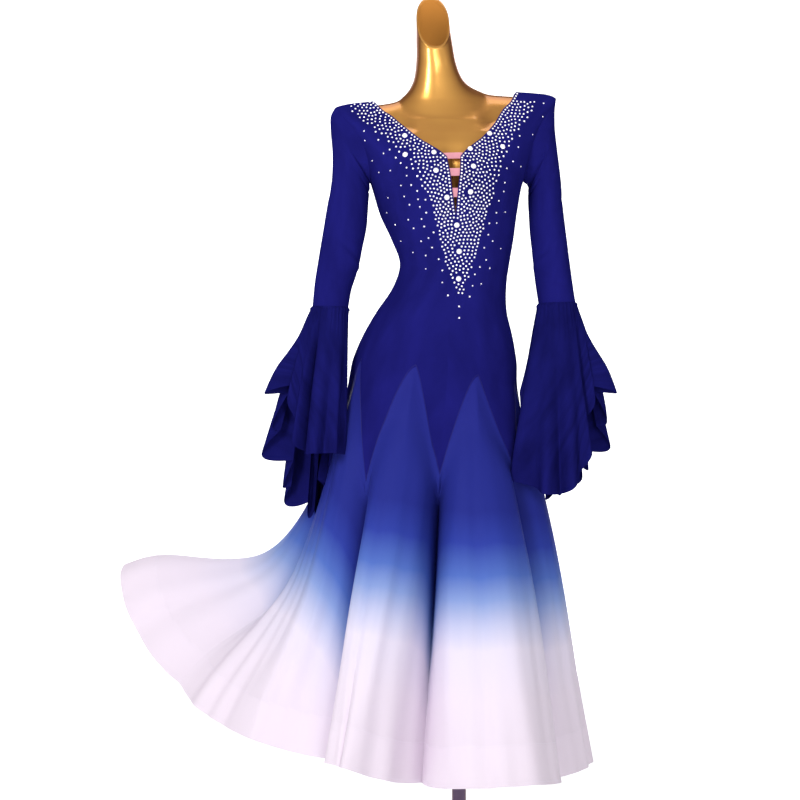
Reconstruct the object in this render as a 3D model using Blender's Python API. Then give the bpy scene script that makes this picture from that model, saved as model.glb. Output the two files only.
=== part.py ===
"""A long-sleeved ballroom dance dress on a limbless dress form with a pole and a round base.

Metres, +Z up. The front of the dress faces -Y and the wearer's right arm lies on the -X side.
The origin is the middle of the base's underside, on the axis of the pole.
Every cloth piece is a thin wall through a surface that is worked out from sections, and
neighbouring pieces stop a hair short of the seam line that they share.
"""

import math

import bpy
import numpy as np

# ---------------------------------------------------------------- driving dimensions
WALL = 0.0015  # thickness of the cloth
SEAM_HALF = 0.0002  # each piece stops this far short of a seam line
FORM_GAP = 0.008  # from the middle of the cloth down to the dress form
ROUNDNESS = 2.3  # exponent of the torso's superelliptic sections

WAIST_HEIGHT = 1.155
HIP_HEIGHT = 0.944  # where the skirt's godets begin, at the middle
HIP_SLOPE = -0.024  # how much higher that is at the +X side
ARMPIT_HEIGHT = 1.317
FORM_BOTTOM = 0.815

GODETS = 8
GODET_COLUMNS = 8
SKIRT_ROWS = 15
GODET_TURN = 360 / GODETS
SKIRT_CENTRE = (-0.035, 0.01)

SHOULDER_ROWS = 9  # from the shoulder seam to the armpit
NECKLINE_ROWS = {"front": 7, "back": 6}  # of those, along the neckline
SLIT_ROWS = 3  # from the armpit to the end of the slit
MIDRIFF_ROWS = 4  # from there to the waist
LOIN_ROWS = 10  # from the waist to the points
HALF_COLUMNS = 8  # from the centre line to the side seam

POLE_RADIUS = 0.0135
BASE_RADIUS = 0.18
BASE_THICKNESS = 0.014
BASE_EDGE = 0.004  # radius of the base's rounded upper edge
BASE_SIDES = 64
POLE_SIDES = 24
FIT_GAP = 0.0003  # between the pole and what it joins
ARMPIT_GAP = 0.0022  # a sleeve stands this far off the bodice where the two lie back to back

# ---------------------------------------------------------------- sections
# The torso from the hips up to the neck, as flat superelliptic rings that dip at front and back.
# height, centre x, half width, front depth, back depth, dip, rise towards +X per metre
TORSO = np.array([
    (0.700, -0.044, 0.135, 0.090, 0.104, 0.000, 0.00),
    (0.800, -0.048, 0.150, 0.102, 0.118, 0.000, 0.00),
    (0.890, -0.049, 0.159, 0.109, 0.126, 0.000, 0.00),
    (0.945, -0.049, 0.161, 0.110, 0.128, 0.000, 0.00),
    (0.968, -0.048, 0.159, 0.110, 0.127, 0.000, 0.00),
    (1.015, -0.042, 0.145, 0.105, 0.120, 0.000, 0.00),
    (1.062, -0.034, 0.126, 0.099, 0.107, 0.000, 0.00),
    (1.108, -0.019, 0.110, 0.093, 0.091, 0.000, 0.00),
    (1.155, -0.009, 0.106, 0.090, 0.079, 0.000, 0.00),
    (1.202, -0.013, 0.118, 0.097, 0.083, 0.000, 0.00),
    (1.249, -0.021, 0.132, 0.112, 0.090, 0.000, 0.00),
    (1.296, -0.024, 0.143, 0.124, 0.095, 0.000, 0.01),
    (1.319, -0.024, 0.150, 0.124, 0.098, 0.002, 0.02),
    (1.358, -0.025, 0.164, 0.113, 0.101, 0.010, 0.03),
    (1.397, -0.026, 0.181, 0.099, 0.102, 0.024, 0.04),
    (1.432, -0.026, 0.201, 0.086, 0.100, 0.038, 0.05),
    (1.4555, -0.026, 0.214, 0.077, 0.096, 0.049, 0.06),
    (1.467, -0.026, 0.217, 0.069, 0.091, 0.055, 0.06),
    (1.474, -0.026, 0.203, 0.062, 0.085, 0.057, 0.065),
    (1.478, -0.027, 0.1755, 0.056, 0.079, 0.055, 0.07),
    (1.481, -0.028, 0.1404, 0.053, 0.073, 0.050, 0.08),
    (1.486, -0.031, 0.101, 0.050, 0.066, 0.043, 0.09),
    (1.495, -0.035, 0.082, 0.047, 0.059, 0.034, 0.09),
    (1.508, -0.039, 0.0655, 0.045, 0.053, 0.024, 0.08),
    (1.528, -0.042, 0.0535, 0.043, 0.047, 0.014, 0.05),
    (1.560, -0.045, 0.0465, 0.042, 0.044, 0.004, 0.00),
    (1.595, -0.048, 0.0435, 0.042, 0.043, 0.000, 0.00),
    (1.632, -0.051, 0.0405, 0.042, 0.042, 0.000, 0.00),
])
HEIGHT, CENTRE, HALF_WIDTH, FRONT, BACK, DIP, RISE = range(7)
CAP_PITCH = 0.056  # the neck's flat cap is this much higher at its back than at its middle
DIP_POWER = 1.3

# The neckline on one half, from the shoulder seam to the centre: across, height
FRONT_NECKLINE = np.array([
    (0.140, 1.481),
    (0.124, 1.458),
    (0.108, 1.444),
    (0.085, 1.415),
    (0.060, 1.390),
    (0.042, 1.377),
    (0.025, 1.364),
    (0.0130, 1.352),
])
SLIT_HALF_WIDTH = 0.0130
SLIT_TOP = 1.352
SLIT_END = 1.242
BACK_NECKLINE = np.array([
    (0.140, 1.481),
    (0.120, 1.448),
    (0.080, 1.420),
    (0.040, 1.408),
    (0.0, 1.404),
])
ARMHOLE_HALF_DEPTH = 0.046
ARMHOLE_TOP = 1.4665

# The bodice's straps across the slit: height of the middle, width
STRAPS = {
    "strap_top": (1.355, 0.012),
    "strap_middle": (1.322, 0.015),
    "strap_bottom": (1.282, 0.017),
}
STRAP_WALL = 0.0012
STRAP_DEPTH = 0.0029  # from the middle of the bodice's cloth in to the middle of a strap
STRAP_TUCK = 0.005  # how far a strap reaches in behind each edge of the slit
STRAP_COLUMNS = 6

# The sleeves from the armhole to the elbow:
# outer x, outer height, inner x, inner height, half depth, middle y
SLEEVES = {
    "left": np.array([
        (-0.2500, 1.438, -0.1745, 1.307, 0.047, 0.004),
        (-0.2495, 1.408, -0.1755, 1.295, 0.046, 0.003),
        (-0.2465, 1.365, -0.1775, 1.276, 0.044, 0.001),
        (-0.2485, 1.315, -0.1795, 1.250, 0.042, -0.003),
        (-0.2575, 1.265, -0.1825, 1.221, 0.041, -0.008),
        (-0.2665, 1.212, -0.1910, 1.182, 0.040, -0.014),
        (-0.2750, 1.163, -0.1990, 1.143, 0.039, -0.020),
        (-0.2830, 1.114, -0.2125, 1.104, 0.037, -0.027),
        (-0.2875, 1.0700, -0.2195, 1.068, 0.036, -0.033),
    ]),
    "right": np.array([
        (0.1880, 1.450, 0.1380, 1.307, 0.047, 0.004),
        (0.1890, 1.415, 0.1380, 1.295, 0.046, 0.003),
        (0.1950, 1.365, 0.1378, 1.274, 0.044, 0.001),
        (0.2000, 1.315, 0.1385, 1.246, 0.042, -0.003),
        (0.2030, 1.265, 0.1395, 1.217, 0.041, -0.008),
        (0.2080, 1.215, 0.1420, 1.184, 0.040, -0.014),
        (0.2130, 1.167, 0.1445, 1.147, 0.039, -0.020),
        (0.2180, 1.120, 0.1480, 1.110, 0.037, -0.027),
        (0.2230, 1.0800, 0.1520, 1.078, 0.036, -0.033),
    ]),
}
SLEEVE_COLUMNS = 2 * SHOULDER_ROWS

# The flounces' folds at the hem. Turn 0 is away from the body, 90 the front, 180 towards the body.
# turn, reach from the middle, height of the hem
FLOUNCES = {
    "left": np.array([
        (12, 0.075, 0.915),
        (48, 0.070, 0.800),
        (84, 0.075, 0.790),
        (120, 0.072, 0.790),
        (156, 0.062, 0.785),
        (192, 0.050, 0.760),
        (228, 0.050, 0.710),
        (264, 0.070, 0.668),
        (300, 0.090, 0.700),
        (336, 0.105, 0.800),
    ]),
    "right": np.array([
        (12, 0.082, 0.915),
        (48, 0.080, 0.790),
        (84, 0.080, 0.722),
        (120, 0.088, 0.712),
        (156, 0.118, 0.738),
        (192, 0.096, 0.760),
        (228, 0.064, 0.720),
        (264, 0.075, 0.705),
        (300, 0.100, 0.740),
        (336, 0.112, 0.810),
    ]),
}
FLOUNCE_FOLD_DEPTH = 0.30  # how far a valley goes in, as a share of the reach
FLOUNCE_SPREAD_POWER = 0.9  # under 1, a flounce spreads a little faster near its seam
FLOUNCE_COLUMNS = 40
FLOUNCE_ROWS = 8
FLOUNCE_SHIFT = {"left": (-0.030, -0.025), "right": (0.002, -0.036)}
FLOUNCE_CLEARANCE = 0.006  # from the middle of a flounce to the middle of what it hangs against
FLOUNCE_START = 0.0010  # below the sleeve's edge

# The skirt's seams, which hang as valleys: turn at the hip, direction and reach at the hem, the
# share of the meridian that the bodice's point takes, and the meridian's length to the hem
SKIRT_SEAMS = np.array([
    (-180, -180, 0.245, 0.26, 0.765),
    (-135, -146, 0.240, 0.27, 0.750),
    (-90, -92, 0.270, 0.27, 0.747),
    (-45, -49, 0.280, 0.305, 0.752),
    (0, -19, 0.185, 0.255, 0.775),
    (45, 55, 0.240, 0.24, 0.765),
    (90, 100, 0.233, 0.20, 0.747),
    (135, 140, 0.240, 0.23, 0.760),
    (180, 180, 0.245, 0.26, 0.765),
])
# The godets between them hang as flutes: how far each stands out at the hem, and the power of a
# sine that shapes it, low for a broad flute
SKIRT_FLUTES = np.array([
    (0.085, 1.6),
    (0.055, 1.6),
    (0.030, 1.6),
    (0.125, 1.05),
    (0.125, 1.2),
    (0.050, 1.6),
    (0.080, 1.6),
    (0.085, 1.6),
])
FLUTE_START = 0.14  # share of a meridian's length where the flutes begin
FLUTE_POWER = 1.0
SPREAD_POWER = 0.88  # under 1, the skirt spreads faster below the hips than at its hem
# How far the cloth's turns are drawn round at the hip line: turn, degrees
HIP_TWIST = np.array([
    (-180, 0.0),
    (-90, 0.0),
    (-45, 3.0),
    (-22.5, 8.4),
    (0, 3.3),
    (22.5, 1.0),
    (45, 0.0),
    (180, 0.0),
])
TWIST_POWER = 1.5  # over 1, the twist comes in late between the waist and the hips
# The share of a point that is left halfway along its edge, from the seam to a godet's top: the
# edge of each godet at its lower turns, and the edge at its higher turns. 0.5 is a straight edge.
EDGE_MIDDLES = np.array([
    (0.42, 0.42),
    (0.42, 0.42),
    (0.42, 0.46),
    (0.31, 0.45),
    (0.29, 0.47),
    (0.42, 0.42),
    (0.42, 0.42),
    (0.42, 0.42),
])

# The -X side of the skirt is swept out sideways. How much each turn takes part:
SWEEP_SHARE = np.array([
    (-180, 0.0),
    (-165, 0.10),
    (-135, 0.80),
    (-116, 1.0),
    (-90, 0.52),
    (-67.5, 0.25),
    (-45, 0.06),
    (-30, 0.0),
    (180, 0.0),
])
# and how far the cloth turns from its own fall along a meridian: share of length, degrees
SWEEP_TURN = np.array([
    (0.0, 0),
    (0.20, 3),
    (0.40, 20),
    (0.50, 30),
    (0.58, 48),
    (0.66, 76),
    (0.76, 89),
    (0.86, 89),
    (1.0, 60),
])
LEAST_FALL = 0.1  # a meridian never lies flatter than this share of a step before it is swept
PATH_STEPS = 60  # steps along a meridian
SEARCH_STEPS = 1081  # sections that a place on the torso is looked up among

# ---------------------------------------------------------------- colours
COLOURS = {
    "bodice_navy": (0.018, 0.018, 0.160),
    "chiffon_navy": (0.010, 0.010, 0.095),
    "skirt_blue": (0.140, 0.220, 0.620),
    "strap_pink": (0.830, 0.480, 0.620),
    "form_gold": (0.600, 0.290, 0.050),
    "stand_metal": (0.160, 0.120, 0.210),
}
ROUGHNESS = {"form_gold": 0.2, "stand_metal": 0.35}


# ---------------------------------------------------------------- curves
def smooth_rows(table, places):
    """The rows of a table at fractional row numbers, on a Catmull-Rom curve through them."""
    places = np.clip(np.asarray(places, float), 0, len(table) - 1)
    start = np.minimum(places.astype(int), len(table) - 2)
    t = (places - start)[..., None]
    before = table[np.maximum(start - 1, 0)]
    after = table[np.minimum(start + 2, len(table) - 1)]
    a, b = table[start], table[start + 1]
    return 0.5 * (
        2 * a
        + (b - before) * t
        + (2 * before - 5 * a + 4 * b - after) * t**2
        + (3 * a - before - 3 * b + after) * t**3
    )


def smooth_values(table, where):
    """A smooth curve through (place, value) rows whose places rise, read at where."""
    rows = np.interp(where, table[:, 0], np.arange(len(table)))
    return smooth_rows(table[:, 1:], rows)


def bent(value, power):
    """A signed power, which squares off a sine or a cosine."""
    return np.sign(value) * np.abs(value) ** power


# ---------------------------------------------------------------- the torso
def torso(turn, row, inside=0.0):
    """A point of the cloth over the torso, or this far inside it. Turn 0 is the front, 90 is +X."""
    turn = np.radians(turn)
    s = smooth_rows(TORSO, row)
    across = (s[..., HALF_WIDTH] - inside) * bent(np.sin(turn), 2 / ROUNDNESS)
    ahead = bent(np.cos(turn), 2 / ROUNDNESS)
    depth = np.where(ahead > 0, s[..., FRONT], s[..., BACK]) - inside
    fall = s[..., DIP] * np.abs(np.cos(turn)) ** DIP_POWER
    height = s[..., HEIGHT] - fall + s[..., RISE] * across
    return np.stack([s[..., CENTRE] + across, -depth * ahead, height], axis=-1)


def level_row(height):
    """The row number of the section at the given height, at the torso's sides."""
    rows = np.linspace(0, len(TORSO) - 1, SEARCH_STEPS)
    return np.interp(height, smooth_rows(TORSO, rows)[:, HEIGHT], rows)


def front_place(across, height, back=False):
    """The turn and row of the point at this distance from the centre and this height."""
    rows = np.linspace(0, len(TORSO) - 1, SEARCH_STEPS)
    sections = smooth_rows(TORSO, rows)
    share = np.clip(across / sections[:, HALF_WIDTH], 0, 1)
    turns = np.degrees(np.arcsin(share ** (ROUNDNESS / 2)))
    turn, row = place_at(height, rows, sections, turns)
    return (180 - turn if back else turn), row


def side_place(ahead, height):
    """The turn and row of the point this far in front of the torso's side line."""
    rows = np.linspace(0, len(TORSO) - 1, SEARCH_STEPS)
    sections = smooth_rows(TORSO, rows)
    share = np.clip(abs(ahead) / sections[:, FRONT if ahead > 0 else BACK], 0, 1)
    turns = 90 - np.degrees(np.arcsin(share ** (ROUNDNESS / 2)))
    turn, row = place_at(height, rows, sections, turns)
    return (turn if ahead >= 0 else 180 - turn), row


def place_at(height, rows, sections, turns):
    """Where a line of places, one on each section, passes a height."""
    falls = sections[:, DIP] * np.abs(np.cos(np.radians(turns))) ** DIP_POWER
    row = float(np.interp(height, sections[:, HEIGHT] - falls, rows))
    return float(np.interp(row, rows, turns)), row


# ---------------------------------------------------------------- the skirt
def hem_point(turn):
    """The hem's direction, reach and flute at hip turns, and the meridians' lengths to it."""
    seam_rows = (turn + 180) / GODET_TURN
    seam = smooth_rows(SKIRT_SEAMS, seam_rows)
    godet = np.minimum(seam_rows.astype(int), GODETS - 1)
    along = seam_rows - godet
    stand, power = SKIRT_FLUTES[godet].T
    flute = stand * np.maximum(np.sin(np.pi * along), 0) ** power
    return seam[:, 1], seam[:, 2], flute, seam[:, 4]


def hip_height(turn):
    """The height of the godets' tops, which slopes with the hips."""
    return HIP_HEIGHT + HIP_SLOPE * np.sin(np.radians(turn))


def hip_twist(turn):
    """How far a turn is drawn round at the hip line."""
    return smooth_values(HIP_TWIST, turn)[..., 0]


def skirt_paths():
    """The meridians of the skirt at every column, as points at even steps along the cloth."""
    turns = np.linspace(-180, 180, GODETS * GODET_COLUMNS + 1)
    share = np.linspace(0, 1, PATH_STEPS + 1)
    start = torso(turns + hip_twist(turns), level_row(hip_height(turns)))
    direction, reach, flute, whole = hem_point(turns)
    angle = np.radians(direction)
    outward = np.stack([np.sin(angle), -np.cos(angle)], axis=-1)
    hem = np.array(SKIRT_CENTRE) + outward * reach[:, None]
    open_share = np.clip((share - FLUTE_START) / (1 - FLUTE_START), 0, 1) ** FLUTE_POWER
    plan = (
        start[:, None, :2]
        + (hem - start[:, :2])[:, None] * (share**SPREAD_POWER)[None, :, None]
        + (outward * flute[:, None])[:, None] * open_share[None, :, None]
    )
    step = np.diff(plan, axis=1)
    length = whole[:, None] / PATH_STEPS
    sideways = np.linalg.norm(step, axis=-1)
    fall = np.sqrt(np.maximum(length**2 - sideways**2, (LEAST_FALL * length) ** 2))
    part = np.clip(smooth_values(SWEEP_SHARE, turns)[:, 0], 0, 1)
    swing = smooth_values(SWEEP_TURN, share[1:])[:, 0]
    tilt = np.radians(part[:, None] * swing[None])
    moved_x = step[..., 0] * np.cos(tilt) - fall * np.sin(tilt)
    moved_z = -fall * np.cos(tilt) - step[..., 0] * np.sin(tilt)
    moves = np.stack([moved_x, step[..., 1], moved_z], axis=-1)
    paths = np.concatenate([start[:, None], start[:, None] + np.cumsum(moves, axis=1)], axis=1)
    return turns, paths


SKIRT_TURNS, SKIRT_PATHS = skirt_paths()


def skirt(turn, share):
    """A point of the skirt at a hip turn and a share of the length below the hip line."""
    turn, share = np.broadcast_arrays(np.asarray(turn, float), np.asarray(share, float))
    column = (turn + 180) / 360 * (len(SKIRT_TURNS) - 1)
    a = np.clip(column.astype(int), 0, len(SKIRT_TURNS) - 2)
    across = (column - a)[..., None]
    place = share * PATH_STEPS
    b = np.clip(place.astype(int), 0, PATH_STEPS - 1)
    down = (place - b)[..., None]
    near = SKIRT_PATHS[a, b] * (1 - down) + SKIRT_PATHS[a, b + 1] * down
    far = SKIRT_PATHS[a + 1, b] * (1 - down) + SKIRT_PATHS[a + 1, b + 1] * down
    return near * (1 - across) + far * across


def point_share(turn):
    """How far down its meridian the bodice reaches: full at a tip, none at a godet's top."""
    seam_rows = (np.asarray(turn, float) + 180) / GODET_TURN
    number = np.minimum(seam_rows.astype(int), GODETS - 1)
    along = seam_rows - number
    high = (along > 0.5).astype(int)
    from_tip = 2 * np.minimum(along, 1 - along)
    middle = EDGE_MIDDLES[number, high]
    near_tip = 1 - 2 * from_tip * (1 - middle)
    near_top = 2 * (1 - from_tip) * middle
    left = np.where(from_tip < 0.5, near_tip, near_top)
    return SKIRT_SEAMS[number + high, 3] * left


# ---------------------------------------------------------------- cloth grids
# A grid is an array of points, its rows running down and its columns towards rising turns.
def between(inner, outer, columns):
    """(turn, row) places on a straight run between two places, end points included."""
    share = np.linspace(0, 1, columns + 1)[:, None]
    return np.array(inner) * (1 - share) + np.array(outer) * share


def slit_half_width(height):
    """Half the width of the slit at a height; nothing below its end."""
    return SLIT_HALF_WIDTH * float(np.clip((height - SLIT_END) / (SLIT_TOP - SLIT_END), 0, 1))


def inner_places(side):
    """(turn, row) places down a panel's inner edge: neckline, then slit or centre line."""
    back = side == "back"
    neckline = BACK_NECKLINE if back else FRONT_NECKLINE
    count = NECKLINE_ROWS[side]
    along = smooth_rows(neckline, np.linspace(0, len(neckline) - 1, count + 1))
    places = [(90.0, level_row(neckline[0, 1]))]
    places += [front_place(across, height, back) for across, height in along[1:]]
    lowest = neckline[-1, 1]
    heights = list(np.linspace(lowest, ARMPIT_HEIGHT, SHOULDER_ROWS - count + 1)[1:])
    heights += list(np.linspace(ARMPIT_HEIGHT, SLIT_END, SLIT_ROWS + 1)[1:])
    heights += list(np.linspace(SLIT_END, WAIST_HEIGHT, MIDRIFF_ROWS + 1)[1:])
    for height in heights:
        across = 0.0 if back else slit_half_width(height)
        places.append(front_place(across, height, back))
    return places


def outer_places(side):
    """(turn, row) places down a panel's outer edge: armhole, then side seam to the waist."""
    middle = (ARMHOLE_TOP + ARMPIT_HEIGHT) / 2
    half = (ARMHOLE_TOP - ARMPIT_HEIGHT) / 2
    sign = -1 if side == "back" else 1
    places = []
    for step in range(SHOULDER_ROWS + 1):
        angle = math.pi * step / SHOULDER_ROWS
        ahead = sign * ARMHOLE_HALF_DEPTH * math.sin(angle)
        places.append(side_place(ahead, middle + half * math.cos(angle)))
    heights = list(np.linspace(ARMPIT_HEIGHT, SLIT_END, SLIT_ROWS + 1)[1:])
    heights += list(np.linspace(SLIT_END, WAIST_HEIGHT, MIDRIFF_ROWS + 1)[1:])
    return places + [(90.0, level_row(height)) for height in heights]


def bodice_half(side, hand):
    """Half a bodice panel from the shoulder seam to its zigzag lower edge. Hand is 1 for +X."""
    rows = []
    for inner, outer in zip(inner_places(side), outer_places(side)):
        turns, places = between(inner, outer, HALF_COLUMNS).T
        rows.append(torso(hand * turns, places))
    first, last = (180, 90) if side == "back" else (0, 90)
    turns = hand * np.linspace(first, last, HALF_COLUMNS + 1)
    loin = WAIST_HEIGHT - hip_height(turns)
    length = hem_point(turns)[3]
    twist = hip_twist(turns)
    for step in range(1, LOIN_ROWS + 1):
        down = (loin + point_share(turns) * length) * step / LOIN_ROWS
        on_loin = np.minimum(down, loin)
        drawn = turns + twist * (on_loin / loin) ** TWIST_POWER
        on_torso = torso(drawn, level_row(WAIST_HEIGHT - on_loin))
        on_skirt = skirt(turns, np.maximum(down - loin, 0) / length)
        rows.append(np.where((down > loin)[:, None], on_skirt, on_torso))
    grid = np.stack(rows)
    rising = (hand > 0) == (side == "front")
    return grid if rising else grid[:, ::-1]


def godet(number):
    """One godet from its pointed top edge to the hem."""
    turns = np.linspace(0, GODET_TURN, GODET_COLUMNS + 1) - 180 + GODET_TURN * number
    top = point_share(turns)
    shares = top + (1 - top) * np.linspace(0, 1, SKIRT_ROWS + 1)[:, None]
    grid = skirt(np.broadcast_to(turns, shares.shape), shares)
    # the bodice's edge has a corner at every second column and runs straight between them
    grid[0, 1::2] = (grid[0, :-1:2] + grid[0, 2::2]) / 2
    return grid


def armhole(hand):
    """The loop of the armhole seam: down the front from the shoulder, then up the back."""
    front = outer_places("front")[: SHOULDER_ROWS + 1]
    back = outer_places("back")[1:SHOULDER_ROWS]
    turns, rows = np.array(front + back[::-1]).T
    return torso(hand * turns, rows)


def tube_ring(section, angle):
    """A ring of a sleeve from its section, at angles where 0 is the outer side and 90 the front."""
    outer_x, outer_z, inner_x, inner_z, depth, middle_y = section
    swing, ahead = np.cos(angle), np.sin(angle)
    x = (outer_x + inner_x) / 2 + (outer_x - inner_x) / 2 * swing
    z = (outer_z + inner_z) / 2 + (outer_z - inner_z) / 2 * swing
    return np.stack([x, middle_y - depth * ahead, z], axis=-1)


def sleeve(hand):
    """The rings of a sleeve from the armhole to the elbow."""
    angle = 2 * np.pi * np.arange(SLEEVE_COLUMNS) / SLEEVE_COLUMNS
    sections = SLEEVES["right" if hand > 0 else "left"]
    rings = [armhole(hand)] + [tube_ring(section, angle) for section in sections]
    grid = np.stack(rings)
    return grid[:, ::-1] if hand > 0 else grid


def outline_at(height):
    """The closed outline of the dress, bodice or skirt, at a height, seen from above."""
    points = []
    for turn, path in zip(SKIRT_TURNS[:-1], SKIRT_PATHS[:-1]):
        if height >= path[0, 2]:
            points.append(torso(turn, level_row(height))[:2])
            continue
        below = int(np.argmax(path[:, 2] < height))
        share = (path[below - 1, 2] - height) / (path[below - 1, 2] - path[below, 2])
        points.append(path[below - 1, :2] * (1 - share) + path[below, :2] * share)
    return np.array(points)


def kept_clear(point, clearance):
    """A point moved out of the dress's outline at its height until it is this clear of it."""
    outline = outline_at(point[2])
    after = np.roll(outline, -1, axis=0)
    edge = after - outline
    to_point = point[:2] - outline
    share = np.clip((to_point * edge).sum(1) / (edge * edge).sum(1), 0, 1)
    apart = to_point - edge * share[:, None]
    far = np.linalg.norm(apart, axis=1)
    nearest = int(far.argmin())
    outward = np.array([edge[nearest, 1], -edge[nearest, 0]])
    outward /= np.linalg.norm(outward)
    signed = far[nearest] * (1 if apart[nearest] @ outward > 0 else -1)
    if signed >= clearance:
        return point
    foot = outline[nearest] + edge[nearest] * share[nearest]
    return np.array([*(foot + outward * clearance), point[2]])


def flounce(hand):
    """The rings of a flounce from the elbow seam to its folded hem."""
    name = "right" if hand > 0 else "left"
    degrees = 360 * np.arange(FLOUNCE_COLUMNS) / FLOUNCE_COLUMNS
    angle = np.radians(degrees)
    top = tube_ring(SLEEVES[name][-1], angle) - np.array([0, 0, FLOUNCE_START])
    folds = FLOUNCES[name]
    looped = np.vstack([folds[-2:] - [360, 0, 0], folds, folds[:2] + [360, 0, 0]])
    reach, hem = smooth_values(looped, degrees).T
    crest = 0.5 + 0.5 * np.cos(len(folds) * np.radians(degrees - folds[0, 0]))
    middle = top.mean(axis=0)[:2]
    outward = np.stack([hand * np.cos(angle), -np.sin(angle)], axis=-1)
    rings = [top]
    for step in range(1, FLOUNCE_ROWS + 1):
        share = step / FLOUNCE_ROWS
        folded = reach * (1 - FLOUNCE_FOLD_DEPTH * share * (1 - crest))
        start = np.linalg.norm(top[:, :2] - middle, axis=1)
        radius = start + (folded - start) * share**FLOUNCE_SPREAD_POWER
        plan = middle + np.array(FLOUNCE_SHIFT[name]) * share + outward * radius[:, None]
        height = top[:, 2] + (hem - top[:, 2]) * share
        ring = [kept_clear(np.array([*p, z]), FLOUNCE_CLEARANCE) for p, z in zip(plan, height)]
        rings.append(np.array(ring))
    grid = np.stack(rings)
    return grid[:, ::-1] if hand > 0 else grid


def strap(height, width):
    """The grid of a strap behind the slit, with an end tucked in behind each edge."""
    rows = []
    for level in (height + width / 2, height, height - width / 2):
        reach = slit_half_width(level) + STRAP_TUCK
        row = []
        for step in range(STRAP_COLUMNS + 1):
            across = reach * (2 * step / STRAP_COLUMNS - 1)
            turn, place = front_place(abs(across), level)
            turn = math.copysign(turn, across)
            row.append(torso(turn, place) - torso_normal(turn, place) * STRAP_DEPTH)
        rows.append(row)
    return np.array(rows)


def torso_normal(turn, row):
    """The outward normal of the torso's surface."""
    step_turn, step_row = 0.5, 0.02
    across = torso(np.add(turn, step_turn), row) - torso(np.subtract(turn, step_turn), row)
    down = torso(turn, np.subtract(row, step_row)) - torso(turn, np.add(row, step_row))
    normal = np.cross(down, across)
    return normal / np.linalg.norm(normal, axis=-1, keepdims=True)


# ---------------------------------------------------------------- walls
def welded(grids, ring=False):
    """The points and faces of grids that share a piece, joined where their points meet."""
    points, faces, index = [], [], {}
    for grid in grids:
        numbers = np.empty(grid.shape[:2], int)
        for place in np.ndindex(*grid.shape[:2]):
            key = tuple(np.round(grid[place], 6))
            if key not in index:
                index[key] = len(points)
                points.append(grid[place])
            numbers[place] = index[key]
        columns = grid.shape[1] if ring else grid.shape[1] - 1
        for i in range(grid.shape[0] - 1):
            for j in range(columns):
                k = (j + 1) % grid.shape[1]
                corners = (numbers[i, j], numbers[i + 1, j], numbers[i + 1, k], numbers[i, k])
                faces += halves([int(c) for c in corners], points)
    return np.array(points), faces


def halves(corners, points):
    """The triangles of a cell, cut along its shorter diagonal."""
    a, b, c, d = corners
    if np.linalg.norm(points[a] - points[c]) > np.linalg.norm(points[b] - points[d]):
        a, b, c, d = b, c, d, a
    return [t for t in ((a, b, c), (a, c, d)) if len(set(t)) == 3]


def corner_normals(points, faces):
    """Every point's normal, the sum of its faces' normals weighted by their size."""
    normals = np.zeros_like(points)
    for face in faces:
        a, b, c = (points[corner] for corner in face)
        size = np.cross(b - a, c - a)
        for corner in face:
            normals[corner] += size
    return normals / np.linalg.norm(normals, axis=1, keepdims=True)


def edge_loops(faces):
    """The directed border edges of a sheet, each with the face that it belongs to."""
    owner = {}
    for face in faces:
        for a, b in zip(face, face[1:] + face[:1]):
            owner[(a, b)] = face
    return {edge: face for edge, face in owner.items() if edge[::-1] not in owner}


def drawn_in(points, faces, normals, border, amount):
    """The points with those on the border moved in along the sheet, mitred at corners."""
    inward = {}
    for a, b in border:
        along = points[b] - points[a]
        side = np.cross(normals[a] + normals[b], along)
        side /= np.linalg.norm(side)
        inward.setdefault(a, []).append(side)
        inward.setdefault(b, []).append(side)
    moved = points.copy()
    for corner, sides in inward.items():
        joined = sides[0] + sides[-1]
        moved[corner] += amount * joined / max(CORNER_LIMIT, 1 + sides[0] @ sides[-1])
    return moved


def wall(points, faces, normals, thickness):
    """The points and faces of a closed wall around a sheet."""
    border = edge_loops(faces)
    middle = drawn_in(points, faces, normals, border, SEAM_HALF)
    count = len(points)
    solid = np.concatenate([middle + normals * thickness / 2, middle - normals * thickness / 2])
    shell = list(faces)
    shell += [tuple(c + count for c in face[::-1]) for face in faces]
    shell += [(b, a, a + count, b + count) for a, b in border]
    return solid, shell


def add_object(name, points, faces, material):
    """A mesh object with its own material."""
    mesh = bpy.data.meshes.new(name)
    mesh.from_pydata([tuple(map(float, p)) for p in points], [], faces)
    mesh.update()
    piece = bpy.data.objects.new(name, mesh)
    bpy.context.scene.collection.objects.link(piece)
    mesh.materials.append(material)
    return piece


def new_material(name):
    """A plain principled material for one sub-part."""
    material = bpy.data.materials.new(name)
    material.use_nodes = True
    shader = material.node_tree.nodes["Principled BSDF"]
    shader.inputs["Base Color"].default_value = (*COLOURS[name], 1)
    shader.inputs["Roughness"].default_value = ROUGHNESS.get(name, 0.8)
    shader.inputs["Metallic"].default_value = 1.0 if name in ROUGHNESS else 0.0
    return material


# ---------------------------------------------------------------- solids of revolution and lofts
def lathe(profile, sides):
    """Points and faces of a solid turned about Z from (radius, height) rows, lowest first."""
    angle = 2 * np.pi * np.arange(sides) / sides
    rings = [
        np.stack([r * np.cos(angle), r * np.sin(angle), np.full(sides, z)], -1) for r, z in profile
    ]
    return loft(np.array(rings))


def loft(rings):
    """Points and faces of a closed solid through rings, lowest first, with flat ends."""
    count, sides = rings.shape[:2]
    points = rings.reshape(-1, 3)
    faces = []
    for i in range(count - 1):
        for j in range(sides):
            k = (j + 1) % sides
            low, high = i * sides, (i + 1) * sides
            faces.append((low + j, low + k, high + k, high + j))
    faces.append(tuple(range(sides))[::-1])
    faces.append(tuple(range((count - 1) * sides, count * sides)))
    return points, faces


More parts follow.
